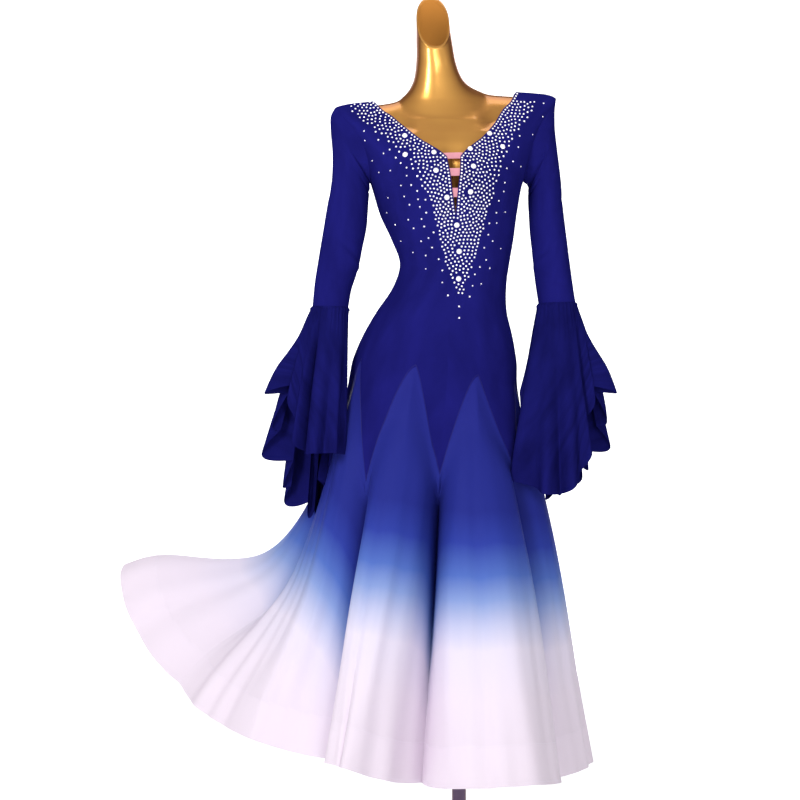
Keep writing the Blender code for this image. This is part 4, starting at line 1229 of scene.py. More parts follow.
@cache
def cloud_group():
    """Slow, uneven light and dark, stretched along the fall of a cloth."""
    tree, given, result = new_tree(
        "uneven tone",
        "ShaderNodeTree",
        [("Vector", "Vector"), ("Across", "Float", 30.0), ("Down", "Float", 4.0)],
        [("Tone", "Float")],
    )
    across, down = given["Across"], given["Down"]
    scale = node(tree, "ShaderNodeCombineXYZ", {"X": across, "Y": down, "Z": across})[0]
    pair = {0: given["Vector"], 1: scale}
    stretched = node(tree, "ShaderNodeVectorMath", pair, operation="MULTIPLY")[0]
    tree.links.new(noise(tree, stretched, 1.0, 3.0), result["Tone"])
    return tree


def plain_material(name, colour, **numbers):
    """A Principled material and its shader, with constant sockets set on the shader."""
    material = bpy.data.materials.new(name)
    material.use_nodes = True
    shader = material.node_tree.nodes["Principled BSDF"]
    shader.inputs["Base Color"].default_value = (*colour, 1)
    for title, value in numbers.items():
        shader.inputs[title.replace("_", " ")].default_value = value
    return material, shader


def uneven_tone(tree, patches, tones):
    """A tone that wanders between two values over a cloth's flat cut."""
    flat = node(tree, "ShaderNodeUVMap", uv_map=FLAT_CUT)["UV"]
    sizes = {"Vector": flat, "Across": patches[0], "Down": patches[1]}
    cloud = node(tree, "ShaderNodeGroup", sizes, node_tree=cloud_group())["Tone"]
    return mapped(tree, cloud, NOISE_RANGE, tones)


def thread_relief(tree, shader, threads, slub, strength):
    """Gives a shader the relief of woven threads."""
    flat = node(tree, "ShaderNodeUVMap", uv_map=FLAT_CUT)["UV"]
    sizes = {"Vector": flat, "Threads per metre": threads, "Slub": slub}
    weave = node(tree, "ShaderNodeGroup", sizes, node_tree=weave_group())["Height"]
    bump = {"Strength": strength, "Distance": RELIEF_DEPTH, "Height": weave}
    tree.links.new(node(tree, "ShaderNodeBump", bump)["Normal"], shader.inputs["Normal"])


def tinted(tree, shader, colour, tone):
    """Gives a shader a colour scaled by a tone."""
    tint = node(tree, "ShaderNodeVectorMath", {0: colour, "Scale": tone}, operation="SCALE")
    tree.links.new(tint["Vector"], shader.inputs["Base Color"])


def cloth_material(name, colour, threads, slub, relief, tones, **numbers):
    """Woven or knitted cloth of one colour, with uneven tone and thread relief."""
    material, shader = plain_material(name, colour, **numbers)
    tree = material.node_tree
    tinted(tree, shader, colour, uneven_tone(tree, CLOTH_PATCHES, tones))
    thread_relief(tree, shader, threads, slub, relief)
    return material


# The dip-dyed colours down the skirt: share of the length, colour
DIP_DYE = (
    (0.00, (0.018, 0.021, 0.210)),
    (0.34, (0.020, 0.028, 0.235)),
    (0.42, (0.030, 0.050, 0.330)),
    (0.50, (0.085, 0.155, 0.500)),
    (0.56, (0.240, 0.330, 0.640)),
    (0.62, (0.520, 0.540, 0.760)),
    (0.68, (0.760, 0.700, 0.840)),
    (0.80, (0.810, 0.720, 0.830)),
    (1.00, (0.790, 0.695, 0.790)),
)
# How far the dye lags where cloth pools in a valley, and how much darker the colour is painted there
# as shade
VALLEY_LAG, VALLEY_PAINTED_SHADE = -0.13, -0.20
DYE_WANDER = 0.008  # how far the dye's edge wanders up and down
BAND_TONES = (0.975, 1.0)  # tone above the doubled band and on it
SKIRT_THREADS, SKIRT_SLUB, SKIRT_RELIEF = 700.0, 0.5, 0.10


def dipped_material():
    """Chiffon satin dyed from royal blue through sky blue to a pinkish white, with shade painted into
    its valleys.
    """
    material, shader = plain_material(
        "dipped_chiffon", DIP_DYE[0][1], Roughness=0.5, Specular_IOR_Level=0.02
    )
    tree = material.node_tree
    fall, valley, band = (
        node(tree, "ShaderNodeAttribute", attribute_name=title)["Fac"]
        for title in ("fall", "valley", "band")
    )
    wander = uneven_tone(tree, SKIRT_PATCHES, (-DYE_WANDER, DYE_WANDER))
    lag = maths(tree, "MULTIPLY_ADD", valley, VALLEY_LAG, wander)
    dye = ramp(tree, maths(tree, "ADD", fall, lag), DIP_DYE)
    doubled = mapped(tree, band, (0.0, 1.0), BAND_TONES)
    # the valleys' colour is painted darker as shade, besides the dye's lag
    tinted(tree, shader, dye, maths(tree, "MULTIPLY_ADD", valley, VALLEY_PAINTED_SHADE, doubled))
    thread_relief(tree, shader, SKIRT_THREADS, SKIRT_SLUB, SKIRT_RELIEF)
    return material


LACQUER_PAINTED_EDGE_SHADE = (0.22, 0.070, 0.018)  # the darker colour painted where the lacquer turns away, as shade at its edges
LACQUER_MIRROR = (0.66, 0.34, 0.11)  # the colour it gives to what it mirrors at a slant
LACQUER_TURN = (0.06, 0.42)  # how far it has turned away where the painted edge shade starts and ends
LACQUER_SHADES = (0.86, 1.12)  # its darkest and lightest patches, as shares of its colour
LACQUER_GLOSS = (-0.05, 0.07)  # how far its roughness wanders down and up
LACQUER_SCALE, LACQUER_DETAIL = 9.0, 5.0


def lacquer_material(name, colour, roughness, metallic, coat, edge_shading):
    """Gold lacquer with a slow unevenness in its gloss, painted darker as shade where it turns away.
    """
    material, shader = plain_material(
        name, colour, Roughness=roughness, Metallic=metallic, Coat_Weight=coat,
        Coat_Roughness=0.06, Specular_Tint=(*LACQUER_MIRROR, 1),
    )
    tree = material.node_tree
    uneven = noise(tree, node(tree, "ShaderNodeTexCoord")["Object"], LACQUER_SCALE, LACQUER_DETAIL)
    gloss = mapped(tree, uneven, (0.0, 1.0), [roughness + step for step in LACQUER_GLOSS])
    darker, lighter = ([min(1.0, share * c) for c in colour] for share in LACQUER_SHADES)
    depth = ramp(tree, uneven, ((0, darker), (1, lighter)))
    # painted shade: the colour darkens where the surface turns away from the view
    facing = node(tree, "ShaderNodeLayerWeight", {"Blend": 0.5})["Facing"]
    turned = mapped(tree, facing, LACQUER_TURN, (0.0, edge_shading))
    colours = {MIX_FACTOR: turned, MIX_A: depth, MIX_B: (*LACQUER_PAINTED_EDGE_SHADE, 1)}
    edge_shaded_colour = node(tree, "ShaderNodeMix", colours, data_type="RGBA")[MIX_RESULT]
    tree.links.new(gloss, shader.inputs["Roughness"])
    tree.links.new(edge_shaded_colour, shader.inputs["Base Color"])
    return material


GLINT_SCALE = 260.0
GLINTS = ((0.35, (0.78, 0.80, 0.98)), (0.55, (1.0, 0.98, 1.0)))  # painted glints in the base colour: value of the noise, colour


def crystal_material():
    """Clear, bright cut glass over foil, with painted glints in its colour and a faint painted glow.
    """
    material, shader = plain_material(
        "foiled_crystal", (1.0, 0.96, 1.0), Roughness=0.15, Metallic=0.1,
        # a faint painted glow, as if the stones gave light of their own
        Emission_Color=(1.0, 0.90, 0.97, 1.0), Emission_Strength=0.30,
        Coat_Weight=1.0, Coat_Roughness=0.03,
    )
    tree = material.node_tree
    glint = noise(tree, node(tree, "ShaderNodeTexCoord")["Object"], GLINT_SCALE, 2.0)
    painted_glints = ramp(tree, glint, GLINTS)
    tree.links.new(painted_glints, shader.inputs["Base Color"])
    return material


# Cloths: colour setting, threads per metre, slub, relief, range of tones, the shader's numbers
CLOTHS = {
    "navy_jersey": (
        "bodice_colour", 1100.0, 0.2, 0.10, (0.85, 1.15),
        {"Roughness": 0.55, "Specular_IOR_Level": 0.0},
    ),
    "navy_chiffon": (
        "flounce_colour", 600.0, 0.9, 0.22, (0.75, 1.25),
        {"Roughness": 0.62, "Specular_IOR_Level": 0.0},
    ),
    "pink_elastic": (
        "strap_colour", 420.0, 0.3, 0.5, (0.85, 1.15),
        {"Roughness": 0.45, "Specular_IOR_Level": 0.3, "Sheen_Weight": 0.05},
    ),
}
# Lacquers: colour setting, roughness, metal, clear coat, how strongly its edges are painted darker as
# shade
LACQUERS = {
    "gold_lacquer": ("lacquer_colour", 0.24, 0.50, 0.3, 0.92),
    "gold_cap": ("cap_colour", 0.50, 0.70, 0.0, 0.0),
    "stand_metal": ("stand_colour", 0.38, 0.6, 0.2, 0.0),
}


@cache
def material_named(name):
    """A finished material in the colour of its setting, built the first time it is asked for."""
    scene = bpy.context.scene
    cloth, form = scene.dress_cloth, scene.dress_form_size
    if name in CLOTHS:
        setting, *numbers, rest = CLOTHS[name]
        return cloth_material(name, tuple(getattr(cloth, setting)), *numbers, **rest)
    if name in LACQUERS:
        setting, *numbers = LACQUERS[name]
        return lacquer_material(name, tuple(getattr(form, setting)), *numbers)
    if name == "dipped_chiffon":
        return dipped_material()
    if name == "crystal":
        return crystal_material()
    if name == "studio_paper":
        return plain_material(
            name, tuple(scene.dress_stage.floor_colour), Roughness=0.9,
            Emission_Color=WHITE, Emission_Strength=0.35,
        )[0]
    threads = {"navy_thread": tuple(cloth.bodice_colour), "white_thread": (0.80, 0.74, 0.84)}
    return plain_material(name, threads[name], Roughness=0.5)[0]


# ---------------------------------------------------------------- sizes and colours
def length_setting(title, value, words):
    """A length in metres that a user can change."""
    return FloatProperty(name=title, description=words, default=value, unit="LENGTH", precision=4)


def colour_setting(title, value, words):
    """A colour that a user can change."""
    return FloatVectorProperty(
        name=title, description=words, default=value, subtype="COLOR", min=0, max=1
    )


class DressCloth(bpy.types.PropertyGroup):
    """Cloth thickness, colours and how strongly the cloth creases."""

    jersey: length_setting("Jersey", 0.0010, "Thickness of the bodice and sleeves")
    chiffon: length_setting("Chiffon", 0.0016, "Thickness of the skirt at its rolled hem")
    band: length_setting("Hem band", 0.075, "Height of the doubled band above the hem")
    creases: FloatProperty(name="Creases", description="Strength of the creases", default=1.0)
    ruffle: FloatProperty(name="Ruffle", description="Strength of the flounces' waves", default=1.0)
    bodice_colour: colour_setting("Bodice", (0.0108, 0.0104, 0.136), "Colour of the jersey")
    flounce_colour: colour_setting("Flounce", (0.0078, 0.0080, 0.098), "Colour of the flounces")
    strap_colour: colour_setting("Strap", (0.80, 0.33, 0.40), "Colour of the straps")


class DressTrim(bpy.types.PropertyGroup):
    """Crystals and stitches."""

    small_stone: length_setting("Small stone", 0.0019, "Radius of a small crystal")
    big_stone: length_setting("Big stone", 0.0054, "Radius of a big crystal")
    row_step: length_setting("Row step", 0.0064, "Distance between close rows of crystals")
    facets: IntProperty(name="Facets", description="Sides of a cut stone", default=8, min=5, max=12)
    stitch: length_setting("Stitch", 0.0022, "Length of a stitch")
    thread: length_setting("Thread", 0.00028, "Radius of the sewing thread")


class DressFormSize(bpy.types.PropertyGroup):
    """The dress form and its stand."""

    sides: IntProperty(name="Sides", description="Points round the form", default=112, min=24)
    rings: IntProperty(name="Rings", description="Rings up the form", default=170, min=38)
    lacquer_colour: colour_setting("Lacquer", (1.0, 0.475, 0.115), "Colour of the form")
    cap_colour: colour_setting("Cap", (0.38, 0.155, 0.030), "Colour of the neck's cap")
    stand_colour: colour_setting("Stand", (0.13, 0.09, 0.16), "Colour of the pole and base")


class DressStage(bpy.types.PropertyGroup):
    """Floor, lights and camera."""

    floor_colour: colour_setting("Floor", (0.94, 0.94, 0.95), "Colour of the floor")
    light: FloatProperty(name="Light", description="Strength of all the lamps", default=1.0)
    lens: FloatProperty(name="Lens", description="Focal length in millimetres", default=92.3)


# ---------------------------------------------------------------- operators
BODICE = ["bodice_front", "bodice_back"]
JERSEY = ("navy_jersey", "bodice_navy")


def add_cloth(title, grids, thickness, look, node_name, held, rests_on, **shape):
    """Builds one cloth piece over a solid node. Its look is a material's name and a slot; the slot is
    not used.
    """
    material, slot = look
    piece = cloth_object(title, grids, thickness, **shape)
    finish_piece(piece, material_named(material), node_name)
    declare_cloth(grids, shape.get("closed", False))


def hem_distance(grid):
    """How far each point lies above the lower edge, along the cloth."""
    down = np.linalg.norm(np.diff(grid, axis=0), axis=-1)
    to_hem = np.cumsum(down[::-1], axis=0)[::-1]
    return np.concatenate([to_hem, np.zeros((1, grid.shape[1]))])


def hem_thickness(grid, band):
    """Each point's share of the full hem thickness: cloth, doubled band, then the rolled edge."""
    to_hem = hem_distance(grid)
    share = np.where(to_hem < band, BAND_SHARE, CLOTH_SHARE)
    return np.where(to_hem < ROLL_HEIGHT, 1.0, share)


class DRESS_OT_bodice(bpy.types.Operator):
    """Builds the front and back of the bodice with their creases."""

    bl_idname = "dress.bodice"
    bl_label = "Bodice"

    def execute(self, context):
        cloth = context.scene.dress_cloth
        for side in ("front", "back"):
            halves = [creased_bodice(side, hand, cloth.creases) for hand in (-1, 1)]
            name = f"bodice_{side}"
            add_cloth(
                f"{name}_cloth", halves, cloth.jersey, JERSEY, name, "stretched", ["dress_form"]
            )
        return {"FINISHED"}


class DRESS_OT_sleeves(bpy.types.Operator):
    """Builds the two fitted sleeves."""

    bl_idname = "dress.sleeves"
    bl_label = "Sleeves"

    def execute(self, context):
        cloth = context.scene.dress_cloth
        for hand, name in SIDE_NAMES.items():
            grid = creased_sleeve(sleeve(hand), hand, cloth.creases)
            name = f"sleeve_{name}"
            add_cloth(
                f"{name}_cloth", [grid], cloth.jersey, JERSEY, name, "hung", BODICE, closed=True
            )
        return {"FINISHED"}


class DRESS_OT_flounces(bpy.types.Operator):
    """Builds the two sleeve flounces with their folds and ruffled hems."""

    bl_idname = "dress.flounces"
    bl_label = "Flounces"

    def execute(self, context):
        cloth = context.scene.dress_cloth
        for hand, name in SIDE_NAMES.items():
            grid = flounce(hand, cloth.ruffle)
            add_cloth(
                f"flounce_{name}_cloth", [grid], cloth.jersey, ("navy_chiffon", "chiffon_navy"),
                f"flounce_{name}", "gathered", [f"sleeve_{name}"], closed=True,
            )
        return {"FINISHED"}


class DRESS_OT_skirt(bpy.types.Operator):
    """Builds the eight dip-dyed godets with their folds, doubled bands and rolled hems."""

    bl_idname = "dress.skirt"
    bl_label = "Skirt"

    def execute(self, context):
        cloth = context.scene.dress_cloth
        for number, name in enumerate(GODET_NAMES):
            grid, shares = godet(number)
            grid = folded_godet(grid, number, cloth.creases)
            # the valleys' depth, which lowers the dye and paints shade into the colour there
            lag_and_shade_mask = sum(depth for depth, _ in valleys(grid, number)) / SEAM_VALLEYS[:, 0].max()
            band = (hem_distance(grid) < cloth.band).astype(float)
            values = {
                "fall": [shares - dye_run(grid, number)],
                "valley": [np.clip(lag_and_shade_mask, 0, 1)],
                "band": [band],
            }
            add_cloth(
                f"{name}_cloth", [grid], cloth.chiffon, ("dipped_chiffon", "skirt_blue"),
                name, "hung", BODICE, wall=[hem_thickness(grid, cloth.band)], values=values,
            )
        return {"FINISHED"}


class DRESS_OT_straps(bpy.types.Operator):
    """Builds the three elastic straps behind the slit."""

    bl_idname = "dress.straps"
    bl_label = "Straps"

    def execute(self, context):
        for name, (height, width) in STRAPS.items():
            grid = np.empty((STRAP_ROWS + 1, STRAP_COLUMNS + 1, 3))
            for i, j in np.ndindex(grid.shape[:2]):
                level = height + width * (0.5 - i / STRAP_ROWS)
                reach = slit_half_width(level) + STRAP_TUCK
                across = reach * (2 * j / STRAP_COLUMNS - 1)
                turn, place = front_place(abs(across), level)
                grid[i, j] = torso(math.copysign(turn, across), place)
            grid -= grid_normals(grid) * STRAP_DEPTH
            add_cloth(
                f"{name}_elastic", [grid], STRAP_THICKNESS, ("pink_elastic", "strap_pink"),
                name, "stretched", ["bodice_front"],
            )
        return {"FINISHED"}


def bodice_surface():
    """The front of the finished bodice as a tree for finding points on it."""
    mesh = bpy.data.objects["bodice_front_cloth"].data
    points = [v.co.copy() for v in mesh.vertices]
    return BVHTree.FromPolygons(points, [tuple(p.vertices) for p in mesh.polygons])


def stone_line(hand):
    """The line that the rows of stones follow on one half: the neckline and the slit's edge."""
    rows = np.linspace(0, len(FRONT_NECKLINE) - 1, EDGE_POINTS)
    neckline = smooth_rows(FRONT_NECKLINE, rows)
    heights = np.linspace(SLIT_TOP - ROW_START, SLIT_END, EDGE_POINTS)
    slit = [(slit_half_width(height), height) for height in heights]
    places = (front_place(across, height) for across, height in (*neckline, *slit))
    return np.array([torso(hand * turn, row)[[0, 2]] for turn, row in places])


def field_limits(height):
    """Where the strewn and the close stones end on both sides at a height."""
    return [np.interp(height, STONE_FIELD[:, 0], STONE_FIELD[:, n]) for n in range(1, 5)]


def stone_places(trim):
    """The x, height and radius of every crystal, packed outward from the neckline and slit."""
    rng = np.random.default_rng(SEED)
    small, step = trim.small_stone, trim.row_step
    first = [(x, z, trim.big_stone) for x, z in BIG_STONES]
    first += [(x, z, small) for x, z in TAIL_STONES]
    stones = np.zeros((MOST_STONES, 3))
    stones[: len(first)] = first
    count = len(first)
    low, high = STONE_FIELD[0, 0], STONE_FIELD[-1, 0]

    def add(x, z, gap, share=1.0):
        nonlocal count
        taken = stones[:count]
        far = np.hypot(taken[:, 0] - x, taken[:, 1] - z) - np.maximum(taken[:, 2] - small, 0)
        if far.min() > gap and count < MOST_STONES:
            stones[count] = x, z, small * share * rng.uniform(*STONE_SIZES)
            count += 1

    # rows along the neckline and the slit
    edges = []
    for hand in (-1, 1):
        line = stone_line(hand)
        edges.append(line)
        along = np.concatenate([[0], np.cumsum(np.linalg.norm(np.diff(line, axis=0), axis=1))])
        ahead = np.gradient(line, along, axis=0)
        outward = np.stack([ahead[:, 1], -ahead[:, 0]], axis=1) * -hand
        row = line + EDGE_MARGIN * outward
        for place in np.arange(ROW_START, along[-1], step):
            add(*(np.interp(place, along, row[:, n]) for n in (0, 1)), step * ROW_GAP)
    # the close field beside them, from the edges outward
    edges = np.concatenate(edges)
    z = rng.uniform(low, high, STONE_TRIES)
    _, left, right, _ = field_limits(z)
    x = left + (right - left) * rng.uniform(0, 1, STONE_TRIES)
    off = np.hypot(x[:, None] - edges[:, 0], z[:, None] - edges[:, 1]).min(axis=1)
    spread = off / (off + np.minimum(x - left, right - x) + 1e-6)
    gaps = step * (FIELD_GAP + OUTER_STEP * spread**3 * eased(z, *OUTER_HEIGHTS))
    gaps += step * LOWER_STEP * (1 - eased(z, *LOWER_HEIGHTS))
    for n in np.argsort(off):
        if off[n] > EDGE_MARGIN + step * ROW_CLEARANCE:
            add(x[n], z[n], gaps[n])
    # strays beyond the field on both sides
    for _ in range(STRAY_TRIES):
        z = rng.uniform(low + STRAY_MARGIN, high)
        far_left, left, right, far_right = field_limits(z)
        past = rng.uniform(0, 1)
        near, far = (left, far_left) if rng.random() < 0.5 else (right, far_right)
        gap = STRAY_GAPS[0] + (STRAY_GAPS[1] - STRAY_GAPS[0]) * past
        add(near + (far - near) * past, z, gap, 1 - STRAY_SHRINK * past)
    return stones[:count]


class DRESS_OT_crystals(bpy.types.Operator):
    """Sets the big and small crystals on the front of the bodice."""

    bl_idname = "dress.crystals"
    bl_label = "Crystals"

    def execute(self, context):
        trim = context.scene.dress_trim
        surface = bodice_surface()
        points, facing, sizes = [], [], []
        for x, z, radius in stone_places(trim):
            hit, normal, _, _ = surface.ray_cast(Vector((x, -1.0, z)), Vector((0, 1, 0)))
            if hit is None or hit.y > 0:
                continue
            normal = normal if normal.y < 0 else -normal
            points.append(hit + normal * radius * STONE_LIFT)
            facing.append(normal)
            sizes.append(radius)
        if len(points) < LEAST_STONES:
            raise RuntimeError("the crystals found no cloth to sit on")
        mesh = bpy.data.meshes.new("stone_points")
        mesh.from_pydata([tuple(p) for p in points], [], [])
        turned = mesh.attributes.new("facing", "FLOAT_VECTOR", "POINT")
        turned.data.foreach_set("vector", [c for n in facing for c in n])
        size = mesh.attributes.new("size", "FLOAT", "POINT")
        size.data.foreach_set("value", sizes)
        crystal = material_named("crystal")
        values = {"Facets": trim.facets, "Material": crystal}
        finish_piece(grown("crystals", mesh, cut_stone_tree(), values), crystal)
        return {"FINISHED"}


def lifted_line(grid, places, lift):
    """A line over a grid at (row, column) places, this far off its surface."""
    normals = grid_normals(grid)
    points = []
    for row, column in places:
        i, j = min(int(row), grid.shape[0] - 2), min(int(column), grid.shape[1] - 1)
        t = row - i
        point = grid[i, j] * (1 - t) + grid[i + 1, j] * t
        points.append(point + normals[i, j] * lift)
    return points


def line_above_edge(grid, distance, lift):
    """A line along a grid this far up the cloth from its lower edge, this far off its surface."""
    to_hem = hem_distance(grid)
    count = np.arange(grid.shape[0])
    rows = [np.interp(-distance, -to_hem[:, j], count) for j in range(grid.shape[1])]
    return lifted_line(grid, [(row, column) for column, row in enumerate(rows)], lift)


class DRESS_OT_stitching(bpy.types.Operator):
    """Sews the skirt's hem band and the bodice's edges with rows of stitches."""

    bl_idname = "dress.stitching"
    bl_label = "Stitching"

    def execute(self, context):
        cloth, trim = context.scene.dress_cloth, context.scene.dress_trim
        tree = stitch_tree()
        hem_lines, bodice_lines = [], []
        lift = cloth.chiffon * BAND_SHARE / 2 + trim.thread * 0.5
        for number in range(GODETS):
            grid = folded_godet(godet(number)[0], number, cloth.creases)
            for distance in (cloth.band, ROLL_STITCH_HEIGHT):
                hem_lines.append(line_above_edge(grid, distance, lift))
        for side in ("front", "back"):
            for hand in (-1, 1):
                grid = creased_bodice(side, hand, cloth.creases)
                bodice_lines.append(line_above_edge(grid, EDGE_STITCH_HEIGHT, cloth.jersey / 2))
                if side == "front":
                    edge = 1 if hand > 0 else grid.shape[1] - 2
                    last = SHOULDER_ROWS + SLIT_ROWS - 2
                    places = [(float(row), edge) for row in range(2, last)]
                    bodice_lines.append(lifted_line(grid, places, cloth.jersey / 2))
        for name, lines, thread in (
            ("hem_stitches", hem_lines, "white_thread"),
            ("bodice_stitches", bodice_lines, "navy_thread"),
        ):
            material = material_named(thread)
            values = {
                "Step": trim.stitch * STITCH_SPACING,
                "Stitch length": trim.stitch,
                "Thread radius": trim.thread,
                "Material": material,
            }
            finish_piece(grown(name, line_mesh(name, lines), tree, values), material)
        return {"FINISHED"}


def evened_front(rings, turns):
    """The form's rings with an even slope from chest to neck and a hollow between the breasts."""
    height = rings[..., 2]
    ahead = bent(np.cos(np.radians(turns)), 2 / ROUNDNESS)[None]
    aside = np.abs(rings[..., 0] - rings.mean(axis=1, keepdims=True)[..., 0])
    comes_in, goes_out = CHEST_BLEND
    part = eased(height, *comes_in) * (1 - eased(height, *goes_out)) * (ahead > 0)
    part *= 1 - eased(aside, *CHEST_REACH)
    made = rings.copy()
    slope = smooth_values(CHEST_SLOPE, height)[..., 0]
    made[..., 1] += (-slope * ahead - rings[..., 1]) * part
    x, z, deep = HOLLOW
    away = ((made[..., 0] - x[0]) / x[1]) ** 2 + ((made[..., 2] - z[0]) / z[1]) ** 2
    made[..., 1] += deep * np.exp(-away) * (ahead > 0)
    return made


class DRESS_OT_form(bpy.types.Operator):
    """Builds the limbless dress form and the flat cap on its neck."""

    bl_idname = "dress.form"
    bl_label = "Dress form"

    def execute(self, context):
        size = context.scene.dress_form_size
        turns = 360 * np.arange(size.sides) / size.sides
        rings = []
        for row in np.linspace(level_row(FORM_BOTTOM), len(TORSO) - 1, size.rings):
            height = smooth_rows(TORSO, row)[HEIGHT]
            drop = FORM_GAP * float(np.clip((height - DROP_START) / DROP_SPAN, 0, 1))
            ring = torso(turns, row, FORM_GAP) - np.array([0, 0, drop])
            lean = CAP_PITCH * float(np.clip((height - PITCH_START) / PITCH_SPAN, 0, 1))
            middle = (ring[:, 1].max() + ring[:, 1].min()) / 2
            depth = (ring[:, 1].max() - ring[:, 1].min()) / 2
            ring[:, 2] += lean * (ring[:, 1] - middle) / depth
            rings.append(ring)
        rings = evened_front(np.array(rings), turns)
        rings[0][:, 2] = FORM_BOTTOM
        edge = rings[-1]
        middle = edge.mean(axis=0)
        normal = np.array([0.0, -CAP_PITCH, depth])
        normal /= np.linalg.norm(normal)
        steps, drawn_in, rise = NECK_ROUNDING
        rounded = [
            middle + (edge - middle) * (1 - drawn_in * (1 - math.cos(a))) + normal * rise * math.sin(a)
            for a in np.radians(steps)
        ]
        piece = loft_object("dress_form_skin", np.concatenate([rings, rounded]))
        finish_piece(piece, material_named("gold_lacquer"), "dress_form")
        plate = [middle + (edge - middle) * share + normal * lift for share, lift in CAP_STEPS]
        cap = loft_object("neck_cap", np.array(plate))
        finish_piece(cap, material_named("gold_cap"))
        return {"FINISHED"}


class DRESS_OT_stand(bpy.types.Operator):
    """Builds the pole and the round base."""

    bl_idname = "dress.stand"
    bl_label = "Stand"

    def execute(self, context):
        profile = [(BASE_RADIUS - BASE_FOOT, 0.0), (BASE_RADIUS, BASE_FOOT)]
        for a in np.radians(np.linspace(0, 90, ROUNDING_POINTS)):
            inward, down = BASE_ROUNDING * (1 - math.cos(a)), BASE_ROUNDING * (1 - math.sin(a))
            profile.append((BASE_RADIUS - inward, BASE_THICKNESS - down))
        base = lathe_object("stand_base_disc", profile, BASE_SIDES)
        finish_piece(base, material_named("stand_metal"), "stand_base")
        ends = (BASE_THICKNESS + POLE_GAP, FORM_BOTTOM - POLE_GAP)
        profile = [(POLE_RADIUS, height) for height in ends]
        pole = lathe_object("stand_pole_tube", profile, POLE_SIDES)
        finish_piece(pole, material_named("stand_metal"), "stand_pole")
        return {"FINISHED"}


FLOOR_FRONT, FLOOR_HALF_WIDTH, WALL_HEIGHT = -7.0, 8.0, 7.0
FLOOR_BEND = (5.4, 1.2)  # where the floor starts to bend up into the wall, and the bend's radius
FLOOR_BEND_POINTS = 13
AT_DRESS, AT_WALL = (-0.05, 0.0, 0.95), (0.0, 9.0, 2.4)
# Soft lamps: name, place, aim, width, height, watts
LAMPS = (
    ("key", (-2.0, -2.9, 2.4), AT_DRESS, 0.8, 1.7, 76.0),
    ("strip", (0.1, -3.4, 1.7), AT_DRESS, 0.22, 1.8, 12.0),
    ("front", (0.7, -4.4, 1.5), AT_DRESS, 1.3, 1.7, 24.0),
    ("fill", (2.8, -2.4, 1.6), AT_DRESS, 0.7, 1.9, 4.0),
    ("top", (0.0, 0.3, 3.6), AT_DRESS, 1.8, 1.2, 26.0),
    ("back", (0.8, 2.2, 2.4), AT_DRESS, 1.6, 1.2, 18.0),
    ("backdrop", (-0.9, 2.6, 0.5), AT_WALL, 3.6, 0.6, 110.0),
    ("backdrop_right", (1.8, 2.4, 1.8), AT_WALL, 3.0, 0.6, 110.0),
)
AIR_LIGHT = 0.25
CAMERA_PLACE, CAMERA_TURN = (-0.5325, -3.9661, 0.89), -6


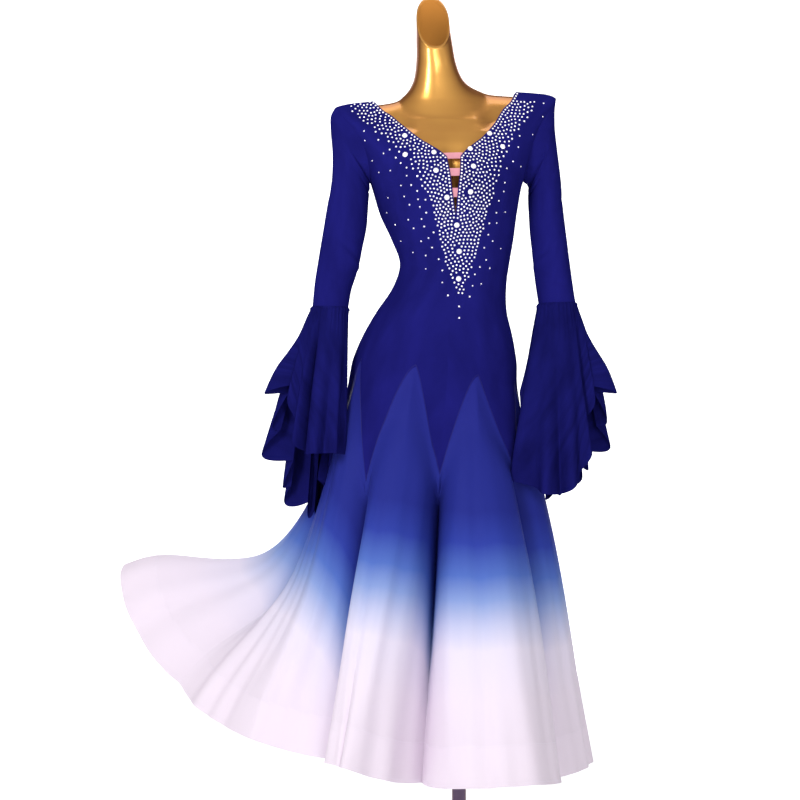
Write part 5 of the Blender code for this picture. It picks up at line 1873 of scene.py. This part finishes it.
class DRESS_OT_stage(bpy.types.Operator):
    """Builds the floor, the soft lamps and the camera."""

    bl_idname = "dress.stage"
    bl_label = "Stage"

    def execute(self, context):
        stage = context.scene.dress_stage
        start, bend = FLOOR_BEND
        profile = [(FLOOR_FRONT, 0.0), (start, 0.0)]
        for a in np.radians(np.linspace(0, 90, FLOOR_BEND_POINTS)[1:]):
            profile.append((start + bend * math.sin(a), bend * (1 - math.cos(a))))
        profile.append((start + bend, WALL_HEIGHT))
        points = [(x, y, z) for y, z in profile for x in (-FLOOR_HALF_WIDTH, FLOOR_HALF_WIDTH)]
        faces = [(2 * n, 2 * n + 1, 2 * n + 3, 2 * n + 2) for n in range(len(profile) - 1)]
        mesh = bpy.data.meshes.new("studio_floor")
        mesh.from_pydata(points, [], faces)
        mesh.shade_smooth()
        mesh.materials.append(material_named("studio_paper"))
        placed("studio_floor", mesh)
        for name, place, aim, width, height, watts in LAMPS:
            light = bpy.data.lights.new(name, "AREA")
            light.shape = "RECTANGLE"
            light.size, light.size_y = width, height
            light.energy = watts * stage.light
            lamp = placed(name, light)
            lamp.location = place
            way = Vector(aim) - Vector(place)
            lamp.rotation_euler = way.to_track_quat("-Z", "Y").to_euler()
        world = bpy.data.worlds.new("studio_air")
        world.use_nodes = True
        background = world.node_tree.nodes["Background"]
        background.inputs["Color"].default_value = WHITE
        background.inputs["Strength"].default_value = AIR_LIGHT * stage.light
        context.scene.world = world
        context.scene.view_settings.view_transform = "Standard"
        camera = bpy.data.cameras.new("camera")
        camera.lens = stage.lens
        camera.sensor_width = 36.0
        viewer = placed("camera", camera)
        viewer.location = CAMERA_PLACE
        viewer.rotation_euler = (math.radians(90), 0, math.radians(CAMERA_TURN))
        context.scene.camera = viewer
        return {"FINISHED"}


OPERATORS = (
    DRESS_OT_stage,
    DRESS_OT_form,
    DRESS_OT_stand,
    DRESS_OT_bodice,
    DRESS_OT_sleeves,
    DRESS_OT_flounces,
    DRESS_OT_skirt,
    DRESS_OT_straps,
    DRESS_OT_crystals,
    DRESS_OT_stitching,
)


class DRESS_PT_pieces(bpy.types.Panel):
    """Lists the dress's settings and the operators that build its pieces."""

    bl_idname = "DRESS_PT_pieces"
    bl_label = "Ballroom dress"
    bl_space_type = "VIEW_3D"
    bl_region_type = "UI"
    bl_category = "Dress"

    def draw(self, context):
        layout = self.layout
        for holder in SETTINGS:
            settings = getattr(context.scene, holder)
            box = layout.box()
            for title in settings.bl_rna.properties.keys():
                if title not in {"rna_type", "name"}:
                    box.prop(settings, title)
        for operator in OPERATORS:
            layout.operator(operator.bl_idname)


SETTINGS = {
    "dress_cloth": DressCloth,
    "dress_trim": DressTrim,
    "dress_form_size": DressFormSize,
    "dress_stage": DressStage,
}


def register():
    """Registers the settings, the operators and the panel."""
    for holder, group in SETTINGS.items():
        bpy.utils.register_class(group)
        setattr(bpy.types.Scene, holder, PointerProperty(type=group))
    for thing in (*OPERATORS, DRESS_PT_pieces):
        bpy.utils.register_class(thing)


def unregister():
    """Takes back what register did."""
    for thing in (DRESS_PT_pieces, *reversed(OPERATORS)):
        bpy.utils.unregister_class(thing)
    for holder, group in SETTINGS.items():
        delattr(bpy.types.Scene, holder)
        bpy.utils.unregister_class(group)


def main():
    register()
    for operator in OPERATORS:
        family, name = operator.bl_idname.split(".")
        getattr(getattr(bpy.ops, family), name)()


if __name__ == "__main__":
    main()
